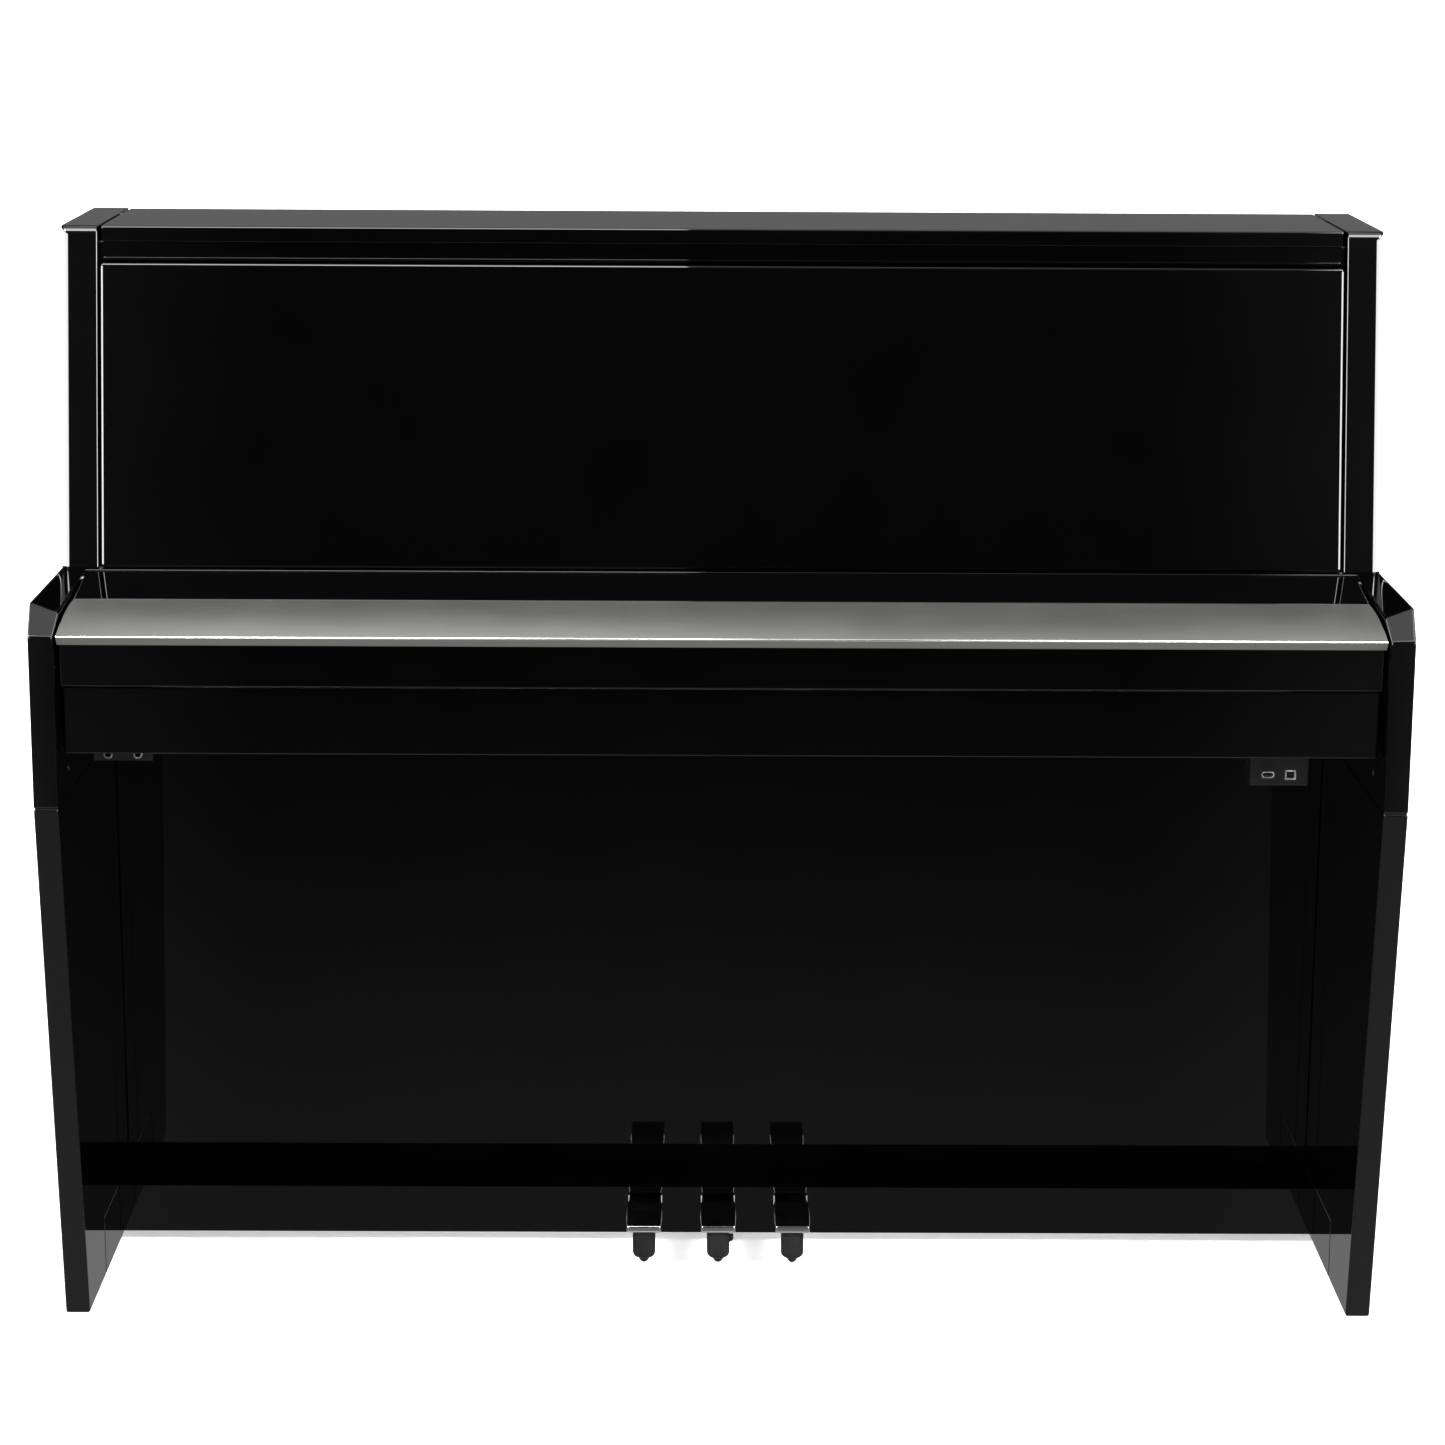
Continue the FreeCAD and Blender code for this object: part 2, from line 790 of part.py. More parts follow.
def pivotPins():
    pins = []
    for y, z, lidSide, side in (
        (fallPivotY, fallPivotZ, fallEnd, sideInner),
        (lidPivotY, lidPivotZ, lidEnd, upperInner),
    ):
        inner = lidSide - size.pivot_pin_engagement
        outer = side + size.pivot_pin_anchor
        pins.append(rod("left_pin", -outer, -inner, y, z, size.pivot_pin_radius))
        pins.append(rod("right_pin", inner, outer, y, z, size.pivot_pin_radius))
    return group("lid_pivot_pins", pins)


topLid()
fallboard()
fallboardTrim()
pivotPins()


# ---------------------------------------------------------------- keyboard

WHITE_NAMES = "CDEFGAB"
WHITE_COUNT = 52
FIRST_WHITE = 5                      # the lowest white key is an A
SINGLE_OCTAVE = 4                    # the octave whose keys are separate nodes
whitePitch = size.octave_width / 7
whiteFront = front + size.white_setback
whiteBottom = size.white_top_height - size.white_key_thickness
headRear = whiteFront + size.white_head_depth
visibleRear = whiteFront + size.white_visible_depth
keyPivotY = whiteFront + size.key_pivot_depth
keyPivotZ = whiteBottom - size.key_seat_clearance - size.key_pivot_radius
keyRear = keyPivotY + size.key_tail
keyboardHalf = whitePitch * WHITE_COUNT / 2
narrowTail = (whitePitch * 4 - size.black_slot * 3) / 4
wideTail = (whitePitch * 3 - size.black_slot * 2) / 3
blackTop = size.white_top_height + size.black_rise
blackFront = headRear + size.key_gap


def tailStart(step):
    """Left edge of a white key's tail from its octave's C, by the white step 0 to 6."""
    if step < 3:
        return (wideTail + size.black_slot) * step
    return whitePitch * 3 + (narrowTail + size.black_slot) * (step - 3)


def tailEnd(step):
    return tailStart(step) + (wideTail if step < 3 else narrowTail)


def whiteKey(index):
    """One white key; index 0 is the lowest A."""
    step = (index + FIRST_WHITE) % 7
    octaveLeft = whitePitch * (index - step) - keyboardHalf
    half = size.key_gap / 2
    headLeft = octaveLeft + whitePitch * step + half
    headRight = octaveLeft + whitePitch * (step + 1) - half
    tailLeft = octaveLeft + tailStart(step) + half
    tailRight = octaveLeft + tailEnd(step) - half
    cutLeft = step not in (0, 3) and index > 0
    cutRight = step not in (2, 6) and index < WHITE_COUNT - 1
    points = [(headLeft, whiteFront), (headRight, whiteFront)]
    if cutRight:
        points += [(headRight, headRear), (tailRight, headRear), (tailRight, keyRear)]
    else:
        points += [(headRight, keyRear)]
    if cutLeft:
        points += [(tailLeft, keyRear), (tailLeft, headRear), (headLeft, headRear)]
    else:
        points += [(headLeft, keyRear)]
    return planShape(f"white_{index}", points, whiteBottom, size.white_top_height)


def blackKey(index):
    """The black key on the right of white key index: a stem with a tapered cap."""
    step = (index + FIRST_WHITE) % 7
    octaveLeft = whitePitch * (index - step) - keyboardHalf
    middle = octaveLeft + tailEnd(step) + size.black_slot / 2
    capBottom = blackTop - size.black_cap_height
    stem = box(f"stem_{index}", middle - size.black_stem_width / 2, middle + size.black_stem_width / 2,
               blackFront + size.black_front_slope, keyRear, whiteBottom, capBottom)
    cap = doc.addObject("Part::Wedge", f"cap_{index}")
    capLength = visibleRear - size.name_felt_thickness - size.key_gap - blackFront
    shoulder = (size.black_base_width - size.black_top_width) / 2
    for path, value in {
        "Xmin": ZERO, "Xmax": size.black_base_width,
        "Ymin": ZERO, "Ymax": size.black_cap_height,
        "Zmin": ZERO, "Zmax": capLength,
        "X2min": shoulder, "X2max": shoulder + size.black_top_width,
        "Z2min": ZERO, "Z2max": capLength - size.black_front_slope,
    }.items():
        bind(cap, path, value)
    # the wedge's own Z runs towards the player once it is stood up
    cap.Placement = FreeCAD.Placement(FreeCAD.Vector(), FreeCAD.Rotation(FreeCAD.Vector(1, 0, 0), 90))
    place(cap, middle - size.black_base_width / 2, blackFront + capLength, capBottom)
    joined = doc.addObject("Part::MultiFuse", f"black_{index}")
    joined.Shapes = [stem, cap]
    return joined


def octaveOf(index):
    """Octave number of a white key, counted as pianists do."""
    return (index + FIRST_WHITE) // 7


def keyGroupName(index, colour):
    return f"{'bass' if octaveOf(index) < SINGLE_OCTAVE else 'treble'}_{colour}_keys"


def keys():
    """All 88 keys: one octave as single nodes, the rest in four groups."""
    grouped = {}
    for index in range(WHITE_COUNT):
        step = (index + FIRST_WHITE) % 7
        made = [("white", whiteKey(index), f"key_{WHITE_NAMES[step].lower()}")]
        if step not in (2, 6) and index < WHITE_COUNT - 1:
            made.append(("black", blackKey(index), f"key_{WHITE_NAMES[step].lower()}_sharp"))
        for colour, key, label in made:
            if octaveOf(index) == SINGLE_OCTAVE:
                node(key, label)
            else:
                grouped.setdefault(keyGroupName(index, colour), []).append(key)
    for label, members in grouped.items():
        group(label, members)


def keyFrame():
    """Steel channel: front rail under the stop felt and the pivot bar on its rear rail."""
    baseTop = keyBedTop + size.key_frame_thickness
    railTop = keyBedTop + size.front_rail_height
    railFront = whiteFront + size.front_rail_setback
    railRear = railFront + size.front_rail_depth
    standTop = keyBedTop + size.pivot_rail_height
    standFront = keyPivotY - size.pivot_rail_depth / 2
    standRear = keyPivotY + size.pivot_rail_depth / 2
    body = sideShape("key_frame", [
        (railFront, keyBedTop),
        (standRear, keyBedTop),
        (standRear, standTop),
        (standFront, standTop),
        (standFront, baseTop),
        (railRear, baseTop),
        (railRear, railTop),
        (railFront, railTop),
    ], -keyboardHalf, keyboardHalf)
    bar = newSketch(body, "YZ_Plane", -keyboardHalf)
    outline(bar, [
        (keyPivotY - size.key_pivot_radius, standTop - size.key_frame_thickness),
        (keyPivotY + size.key_pivot_radius, standTop - size.key_frame_thickness),
        (keyPivotY + size.key_pivot_radius, keyPivotZ),
        (keyPivotY - size.key_pivot_radius, keyPivotZ),
    ])
    pad(body, bar, keyboardHalf * 2)
    roundEdge(body, keyPivotY, keyPivotZ, size.key_pivot_radius, -keyboardHalf, keyboardHalf)
    node(body, "key_frame")
    nameFeltBottom = size.white_top_height + size.name_felt_gap
    group("key_felts", [
        box("stop_felt", -keyboardHalf, keyboardHalf, railFront, railRear,
            railTop, railTop + size.stop_felt_thickness),
        box("name_felt", -keyboardHalf, keyboardHalf, visibleRear - size.name_felt_thickness, visibleRear,
            nameFeltBottom, nameFeltBottom + size.name_felt_height),
    ])


blockInner = keyboardHalf + size.key_block_gap
blockTop = keyBedTop + size.key_block_height
controlX = (blockInner + sideInner) / 2
controlY = slipRear + size.control_setback


def keyBlock(name, x0, x1, x, radius, depth):
    """Block at one end of the keys, with the well of its control."""
    body = planShape(name, [(x0, slipRear), (x1, slipRear), (x1, visibleRear), (x0, visibleRear)],
                     keyBedTop, blockTop)
    well = newSketch(body, "XY_Plane", blockTop)
    circle(well, x, controlY, radius)
    pocket(body, well, depth)
    return body


def turnedUpright(label, points, x, y, z):
    """A turned piece with an upright axis; points are (radius, height)."""
    body = newBody(label)
    sketch = newSketch(body, "XZ_Plane")
    outline(sketch, points)
    revolve(body, sketch, "V_Axis")
    place(body, x, y, z)
    return body


def controls():
    """Volume knob on the left block, power button on the right block."""
    knobTop = size.knob_gap + size.knob_height
    edge = size.knob_height / 8
    node(turnedUpright("volume_knob", [
        (ZERO, -size.knob_spindle_length),
        (size.knob_spindle_radius, -size.knob_spindle_length),
        (size.knob_spindle_radius, size.knob_gap),
        (size.knob_radius, size.knob_gap),
        (size.knob_radius, knobTop - edge),
        (size.knob_radius - edge, knobTop),
        (ZERO, knobTop),
    ], -controlX, controlY, blockTop), "volume_knob")
    proud = size.button_proud
    node(turnedUpright("power_button", [
        (ZERO, proud - size.button_height),
        (size.button_radius, proud - size.button_height),
        (size.button_radius, proud * 0.75),
        (size.button_radius - proud / 4, proud),
        (ZERO, proud),
    ], controlX, controlY, blockTop), "power_button")


keys()
keyFrame()
group("key_blocks", [
    keyBlock("left_block", -sideInner, -blockInner, -controlX,
             size.knob_spindle_radius + size.pivot_running_clearance, size.knob_well_depth),
    keyBlock("right_block", blockInner, sideInner, controlX,
             size.button_radius + size.button_clearance, size.button_well_depth),
])
controls()
nameBottom = size.white_top_height + size.name_board_gap
board("name_board", -sideInner, sideInner, visibleRear, visibleRear + size.name_board_thickness,
      nameBottom, nameBottom + size.name_board_height)


# ---------------------------------------------------------------- pedals

PEDALS = {"soft_pedal": -1, "sostenuto_pedal": 0, "damper_pedal": 1}
pedalFront = lowerFront - size.pedal_reach
pivotY = lowerFront + size.pedal_pivot_setback
leverTop = size.lever_bottom + size.lever_height
boreRadius = size.axle_radius + size.pivot_running_clearance
bladeRear = lowerFront - size.pedal_neck_depth
earBottom = size.bracket_ear_bottom
plateTop = bottomTop - size.bottom_board_thickness
plateBottom = plateTop - size.bracket_plate_thickness
earInner = size.lever_width / 2 + size.bracket_ear_gap
earOuter = earInner + size.bracket_thickness


def pedalBoard():
    body = newBody("pedal_board")
    face = newSketch(body, "XZ_Plane", -boardRear)
    rectangle(face, -sideInner, sideInner, size.pedal_board_bottom, size.toe_height)
    for side in PEDALS.values():
        middle = size.pedal_spacing * side
        rectangle(face, middle - size.pedal_slot_width / 2, middle + size.pedal_slot_width / 2,
                  size.pedal_slot_bottom, size.pedal_slot_top)
    pad(body, face, size.pedal_board_thickness)
    stemHole = newSketch(body, "XY_Plane", size.pedal_board_bottom)
    circle(stemHole, size.foot_offset, (lowerFront + boardRear) / 2,
           size.foot_stem_radius + size.foot_stem_clearance)
    pocket(body, stemHole, size.foot_stem_height + size.foot_seat_gap - size.pedal_board_bottom,
           backwards=True)
    return node(body, "pedal_board")


def pedal(label, side):
    """Chrome blade in front of the board and the lever that carries it back to the axle."""
    middle = size.pedal_spacing * side
    halfBlade = size.pedal_width / 2
    halfLever = size.lever_width / 2
    lipTop = size.pedal_lip_bottom + size.pedal_lip_height
    crestY = pedalFront + size.pedal_reach / 2
    neckY = lowerFront - size.pedal_reach / 4
    body = sideShape(label, [
        (pedalFront, size.pedal_lip_bottom),
        (neckY - size.pedal_neck_depth, size.pedal_lip_bottom),
        (bladeRear, leverTop - size.pedal_lip_height / 4),
        (bladeRear, leverTop + size.pedal_lip_height * 0.6),
        (neckY, lipTop),
        (crestY, size.pedal_crest_height),
        (pedalFront, lipTop),
    ], middle - halfBlade, middle + halfBlade)
    lever = newSketch(body, "YZ_Plane", middle - halfLever)
    outline(lever, [
        (neckY, size.pedal_lip_bottom),
        (boardRear - size.lever_tail, size.lever_bottom),
        (pivotY + size.lever_tail, size.lever_bottom),
        (pivotY + size.lever_tail, leverTop),
        (boardRear - size.lever_tail / 2, leverTop),
        (neckY, lipTop),
    ])
    pad(body, lever, size.lever_width)
    roundEdge(body, pivotY, size.pedal_pivot_height, size.pedal_boss_radius,
              middle - halfLever, middle + halfLever)
    bore = newSketch(body, "YZ_Plane", middle - halfLever)
    circle(bore, pivotY, size.pedal_pivot_height, boreRadius)
    pocket(body, bore, size.lever_width, backwards=True)
    node(body, label)
    shoulder = size.stopper_shoulder_height
    tip = size.stopper_tip_height
    node(turnedUpright(f"{label}_stopper", [
        (ZERO, tip),
        (size.stopper_tip_radius / 2, tip),
        (size.stopper_tip_radius * 0.9, tip + size.stopper_tip_radius / 2),
        (size.stopper_tip_radius, shoulder - size.stopper_tip_radius / 2),
        (size.stopper_radius - size.stopper_tip_radius / 4, shoulder - size.stopper_tip_radius / 4),
        (size.stopper_radius, shoulder),
        (size.stopper_radius, size.pedal_lip_bottom),
        (ZERO, size.pedal_lip_bottom),
    ], middle, pedalFront + size.stopper_setback, ZERO), f"{label}_stopper")


def pedalBracket():
    """Steel plate under the bottom board with a pair of ears for each lever."""
    plateEnd = size.pedal_spacing + earOuter
    body = planShape("pedal_bracket", [
        (-plateEnd, pivotY - size.bracket_depth / 2),
        (plateEnd, pivotY - size.bracket_depth / 2),
        (plateEnd, pivotY + size.bracket_depth / 2),
        (-plateEnd, pivotY + size.bracket_depth / 2),
    ], plateBottom, plateTop)
    for side in PEDALS.values():
        middle = size.pedal_spacing * side
        for start in (middle - earOuter, middle + earInner):
            ear = newSketch(body, "YZ_Plane", start)
            rectangle(ear, pivotY - size.bracket_depth / 3, pivotY + size.bracket_depth / 3,
                      earBottom, plateBottom + size.bracket_plate_thickness / 2)
            circle(ear, pivotY, size.pedal_pivot_height, size.axle_radius + size.pin_seat_clearance)
            pad(body, ear, size.bracket_thickness)
    return node(body, "pedal_bracket")


def pedalSpring(side):
    """Torsion spring round the axle, close-wound, beside the lever's right ear."""
    body = newBody("pedal_spring")
    sketch = newSketch(body, "XY_Plane")
    coils = int(SIZES["spring_coils"])
    start = size.pedal_spacing * side + earOuter + size.spring_gap
    inner = size.spring_inner_radius
    outer = inner + size.spring_wire
    points = [(start, inner)]
    for turn in range(coils):
        left = start + size.spring_wire * turn
        points += [(left, outer - size.spring_wire / 3), (left + size.spring_wire / 2, outer)]
    end = start + size.spring_wire * coils
    points += [(end, outer - size.spring_wire / 3), (end, inner)]
    outline(sketch, points)
    revolve(body, sketch, "H_Axis")
    place(body, ZERO, pivotY, size.pedal_pivot_height)
    return body


def adjusterFoot():
    radius = size.foot_radius
    height = size.foot_height
    collar = size.pedal_board_bottom - size.foot_seat_gap
    return node(turnedUpright("adjuster_foot", [
        (ZERO, ZERO),
        (radius - height / 5, ZERO),
        (radius, height / 5),
        (radius, height * 0.8),
        (radius - height / 5, height),
        (radius * 0.6, height),
        (radius * 0.6, collar),
        (size.foot_stem_radius, collar),
        (size.foot_stem_radius, size.foot_stem_height),
        (ZERO, size.foot_stem_height),
    ], size.foot_offset, (lowerFront + boardRear) / 2, ZERO), "adjuster_foot")


pedalBoard()
for pedalName, pedalSide in PEDALS.items():
    pedal(pedalName, pedalSide)
pedalBracket()
springEnd = size.spring_gap + size.spring_wire * size.spring_coils
axleEnd = size.pedal_spacing + earOuter + springEnd + size.axle_overhang
node(rod("pedal_axle", -axleEnd, axleEnd, pivotY, size.pedal_pivot_height, size.axle_radius), "pedal_axle")
group("pedal_springs", [pedalSpring(side) for side in PEDALS.values()])
adjusterFoot()


# ---------------------------------------------------------------- connections and electronics

portFront = front + size.port_setback
portRear = portFront + size.port_box_depth


def usbBox():
    """Box under the right of the key bed with one flat and one square port."""
    x1 = sideInner - size.usb_box_end_gap
    x0 = x1 - size.usb_box_width
    z = size.key_bed_bottom - size.usb_port_drop
    body = planShape("usb_box", [(x0, portFront), (x1, portFront), (x1, portRear), (x0, portRear)],
                     size.key_bed_bottom - size.usb_box_height, size.key_bed_bottom)
    ports = newSketch(body, "XZ_Plane", -portFront)
    middle = (x0 + x1) / 2
    for x, width, height in (
        (middle - size.usb_port_spacing / 2, size.usb_a_width, size.usb_a_height),
        (middle + size.usb_port_spacing / 2, size.usb_b_width, size.usb_b_height),
    ):
        rectangle(ports, x - width / 2, x + width / 2, z - height / 2, z + height / 2)
    pocket(body, ports, size.usb_port_depth)
    return node(body, "usb_box")


def phonesBox():
    """Shallow box under the left of the key bed with two 6.35 mm jacks."""
    x0 = -(sideInner - size.phones_box_end_gap)
    x1 = x0 + size.phones_box_width
    bottom = size.key_bed_bottom - size.phones_box_height
    body = planShape("headphone_box", [(x0, portFront), (x1, portFront), (x1, portRear), (x0, portRear)],
                     bottom, size.key_bed_bottom)
    jacks = newSketch(body, "XZ_Plane", -portFront)
    for side in (-1, 1):
        circle(jacks, (x0 + x1) / 2 + size.jack_spacing / 2 * side, (bottom + size.key_bed_bottom) / 2,
               size.jack_radius)
    pocket(body, jacks, size.jack_depth)
    return node(body, "headphone_box")


def mainsInlet():
    """Recessed appliance inlet in the back panel, its mouth to the rear."""
    x = size.inlet_offset
    z = size.inlet_level
    body = newBody("mains_inlet")
    flange = newSketch(body, "XZ_Plane", -(backOuter + size.inlet_flange_thickness))
    halfFlange = size.inlet_width / 2 + size.inlet_flange
    rectangle(flange, x - halfFlange, x + halfFlange,
              z - size.inlet_height / 2 - size.inlet_flange / 2,
              z + size.inlet_height / 2 + size.inlet_flange / 2)
    pad(body, flange, size.inlet_flange_thickness)
    shell = newSketch(body, "XZ_Plane", -(backOuter + size.inlet_flange_thickness))
    rectangle(shell, x - size.inlet_width / 2, x + size.inlet_width / 2,
              z - size.inlet_height / 2, z + size.inlet_height / 2)
    pad(body, shell, size.inlet_depth)
    cavity = newSketch(body, "XZ_Plane", -(backOuter + size.inlet_flange_thickness))
    rectangle(cavity, x - size.inlet_cavity_width / 2, x + size.inlet_cavity_width / 2,
              z - size.inlet_cavity_height / 2, z + size.inlet_cavity_height / 2)
    pocket(body, cavity, size.inlet_cavity_depth, backwards=True)
    return node(body, "mains_inlet")


def circuitBoard():
    """Main board on four standoffs, with its larger chips."""
    y0 = keyRear + size.board_thickness
    y1 = y0 + size.circuit_board_depth
    half = size.board_length / 2
    z0 = keyBedTop + size.standoff_height
    z1 = z0 + size.circuit_board_thickness
    pieces = [box("board_sheet", -half, half, y0, y1, z0, z1)]
    inset = size.standoff_radius * 2
    for x in (inset - half, half - inset):
        for y in (y0 + inset, y1 - inset):
            post = doc.addObject("Part::Cylinder", "standoff")
            bind(post, "Radius", size.standoff_radius)
            bind(post, "Height", size.standoff_height + size.circuit_board_thickness / 2)
            place(post, x, y, keyBedTop)
            pieces.append(post)
    for place0, width in ((-0.6, 40), (-0.1, 60), (0.5, 30)):
        x = half * place0
        pieces.append(box("chip", x, x + width, y0 + inset, y0 + inset + width,
                          z1 - size.circuit_board_thickness / 2, z1 + size.circuit_board_thickness * 2))
    return fuse("circuit_board", pieces)


usbBox()
phonesBox()
mainsInlet()
circuitBoard()
supplyRight = size.inlet_offset + size.supply_length / 2
supplyRear = backOuter - size.inlet_depth - size.screw_margin
board("power_supply", supplyRight - size.supply_length, supplyRight, supplyRear - size.supply_depth,
      supplyRear, keyBedTop, keyBedTop + size.supply_height)


# ---------------------------------------------------------------- check and write

doc.recompute()
for item in doc.Objects:
    bad = {"Invalid", "Error"} & set(item.State)
    if bad:
        raise RuntimeError(f"{item.Label}: {bad}")
labels = [item.Label for item in NODES]
if len(set(labels)) != len(labels) or len(labels) > 60:
    raise RuntimeError(f"{len(labels)} nodes, {len(set(labels))} names")
os.makedirs("parts", exist_ok=True)
for item in NODES:
    if item.Shape.isNull() or not item.Shape.isValid() or not item.Shape.Solids:
        raise RuntimeError(f"{item.Label}: shape is empty or not valid")
for item in NODES:
    item.Shape.exportStep(f"parts/{item.Label}.step")
print(len(NODES), "nodes written")
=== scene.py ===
import json
import math

import bmesh
import bpy
from mathutils import Euler, Matrix, Vector

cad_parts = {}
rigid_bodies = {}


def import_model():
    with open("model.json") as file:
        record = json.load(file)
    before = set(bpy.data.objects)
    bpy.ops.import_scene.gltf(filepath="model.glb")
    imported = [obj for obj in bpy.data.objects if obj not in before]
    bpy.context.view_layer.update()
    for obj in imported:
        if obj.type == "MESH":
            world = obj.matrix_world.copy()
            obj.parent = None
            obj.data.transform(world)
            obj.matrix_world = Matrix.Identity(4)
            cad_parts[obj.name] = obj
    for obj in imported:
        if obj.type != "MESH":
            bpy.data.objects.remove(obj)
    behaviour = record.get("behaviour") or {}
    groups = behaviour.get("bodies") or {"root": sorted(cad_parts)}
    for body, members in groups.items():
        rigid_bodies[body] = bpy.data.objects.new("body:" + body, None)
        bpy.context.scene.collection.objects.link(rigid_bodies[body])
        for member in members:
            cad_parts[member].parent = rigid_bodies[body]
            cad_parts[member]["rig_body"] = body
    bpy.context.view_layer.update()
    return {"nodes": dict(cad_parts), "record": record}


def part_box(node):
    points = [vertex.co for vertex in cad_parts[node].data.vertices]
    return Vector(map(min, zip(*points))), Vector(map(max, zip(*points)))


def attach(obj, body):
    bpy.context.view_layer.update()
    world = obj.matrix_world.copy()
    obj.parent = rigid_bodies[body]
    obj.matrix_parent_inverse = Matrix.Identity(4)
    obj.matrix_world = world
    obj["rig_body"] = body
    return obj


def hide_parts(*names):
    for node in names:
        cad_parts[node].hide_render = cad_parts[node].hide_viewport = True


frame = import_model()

mm = 0.001


# materials

def newMaterial(name):
    material = bpy.data.materials.new(name)
    material.use_nodes = True
    nodes = material.node_tree.nodes
    return material, nodes, material.node_tree.links, nodes["Principled BSDF"]


def addNoise(nodes, links, scale, detail=3.0, stretch=(1, 1, 1), roughness=0.5):
    # noise on the piece's own object coordinates, in metres
    coords = nodes.new("ShaderNodeTexCoord")
    mapping = nodes.new("ShaderNodeMapping")
    mapping.inputs["Scale"].default_value = stretch
    noise = nodes.new("ShaderNodeTexNoise")
    noise.inputs["Scale"].default_value = scale
    noise.inputs["Detail"].default_value = detail
    noise.inputs["Roughness"].default_value = roughness
    links.new(coords.outputs["Object"], mapping.inputs["Vector"])
    links.new(mapping.outputs["Vector"], noise.inputs["Vector"])
    return noise.outputs["Fac"]


def addRange(nodes, links, value, low, high, fromLow=0.3, fromHigh=0.7):
    spread = nodes.new("ShaderNodeMapRange")
    spread.inputs["From Min"].default_value = fromLow
    spread.inputs["From Max"].default_value = fromHigh
    spread.inputs["To Min"].default_value = low
    spread.inputs["To Max"].default_value = high
    links.new(value, spread.inputs["Value"])
    return spread.outputs["Result"]


def addMath(nodes, links, operation, first, second=None):
    # second is another node's output, or a number
    step = nodes.new("ShaderNodeMath")
    step.operation = operation
    links.new(first, step.inputs[0])
    if isinstance(second, float):
        step.inputs[1].default_value = second
    elif second is not None:
        links.new(second, step.inputs[1])
    return step.outputs["Value"]


def addColours(nodes, links, value, dark, light, fromLow=0.3, fromHigh=0.7):
    ramp = nodes.new("ShaderNodeValToRGB")
    ramp.color_ramp.elements[0].position = fromLow
    ramp.color_ramp.elements[0].color = (*dark, 1)
    ramp.color_ramp.elements[1].position = fromHigh
    ramp.color_ramp.elements[1].color = (*light, 1)
    links.new(value, ramp.inputs["Fac"])
    return ramp.outputs["Color"]


def addBump(nodes, links, shader, value, height, strength=1.0):
    bump = nodes.new("ShaderNodeBump")
    bump.inputs["Strength"].default_value = strength
    bump.inputs["Distance"].default_value = height
    links.new(value, bump.inputs["Height"])
    links.new(bump.outputs["Normal"], shader.inputs["Normal"])


def lacquer():
    # poured polyester over board: mirror gloss with a trace of orange peel and wiping haze
    material, nodes, links, shader = newMaterial("blackLacquer")
    haze = addNoise(nodes, links, 9, 4, roughness=0.62)
    peel = addNoise(nodes, links, 260, 1)
    links.new(addColours(nodes, links, haze, (0.0002, 0.0002, 0.0003), (0.0004, 0.0004, 0.0005)),
              shader.inputs["Base Color"])
    links.new(addRange(nodes, links, haze, 0.018, 0.034), shader.inputs["Roughness"])
    shader.inputs["IOR"].default_value = 1.5
    shader.inputs["Coat Weight"].default_value = 0.0
    addBump(nodes, links, shader, peel, 0.000004)
    return material


def paintedBoard(name, dark, light, roughLow, roughHigh):
    # rolled matt paint on fibreboard
    material, nodes, links, shader = newMaterial(name)
    grain = addNoise(nodes, links, 420, 4)
    cloud = addNoise(nodes, links, 14, 3)
    links.new(addColours(nodes, links, cloud, dark, light), shader.inputs["Base Color"])
    links.new(addRange(nodes, links, cloud, roughLow, roughHigh), shader.inputs["Roughness"])
    addBump(nodes, links, shader, grain, 0.00012, 0.6)
    return material


def brushedMetal(name, dark, light, roughLow, roughHigh, stretch, scratch=0.00002):
    # fine lines along the direction with the small stretch value
    material, nodes, links, shader = newMaterial(name)
    lines = addNoise(nodes, links, 1, 4, stretch=stretch, roughness=0.7)
    cloud = addNoise(nodes, links, 11, 3)
    links.new(addColours(nodes, links, lines, dark, light), shader.inputs["Base Color"])
    links.new(addRange(nodes, links, cloud, roughLow, roughHigh), shader.inputs["Roughness"])
    shader.inputs["Metallic"].default_value = 1.0
    addBump(nodes, links, shader, lines, scratch, 0.5)
    return material


def chromePlate():
    material, nodes, links, shader = newMaterial("pedalChrome")
    smudge = addNoise(nodes, links, 38, 5, roughness=0.6)
    links.new(addColours(nodes, links, smudge, (0.62, 0.63, 0.64), (0.76, 0.77, 0.78)),
              shader.inputs["Base Color"])
    links.new(addRange(nodes, links, smudge, 0.04, 0.13), shader.inputs["Roughness"])
    shader.inputs["Metallic"].default_value = 1.0
    return material


def mouldedPlastic(name, dark, light, roughLow, roughHigh, grainSize, grainHeight):
    material, nodes, links, shader = newMaterial(name)
    grain = addNoise(nodes, links, 1 / grainSize, 3)
    cloud = addNoise(nodes, links, 30, 3)
    links.new(addColours(nodes, links, cloud, dark, light), shader.inputs["Base Color"])
    links.new(addRange(nodes, links, cloud, roughLow, roughHigh), shader.inputs["Roughness"])
    shader.inputs["IOR"].default_value = 1.47
    shader.inputs["Specular IOR Level"].default_value = 0.3
    addBump(nodes, links, shader, grain, grainHeight, 0.7)
    return material


def ivoryPlastic():
    # cool white with a faint long grain, polished by the fingers
    material, nodes, links, shader = newMaterial("whiteKeyPlastic")
    grain = addNoise(nodes, links, 1, 4, stretch=(900, 26, 900), roughness=0.6)
    links.new(addColours(nodes, links, grain, (0.50, 0.48, 0.43), (0.57, 0.555, 0.51)),
              shader.inputs["Base Color"])
    links.new(addRange(nodes, links, grain, 0.22, 0.34), shader.inputs["Roughness"])
    shader.inputs["IOR"].default_value = 1.5
    addBump(nodes, links, shader, grain, 0.00001, 0.5)
    return material


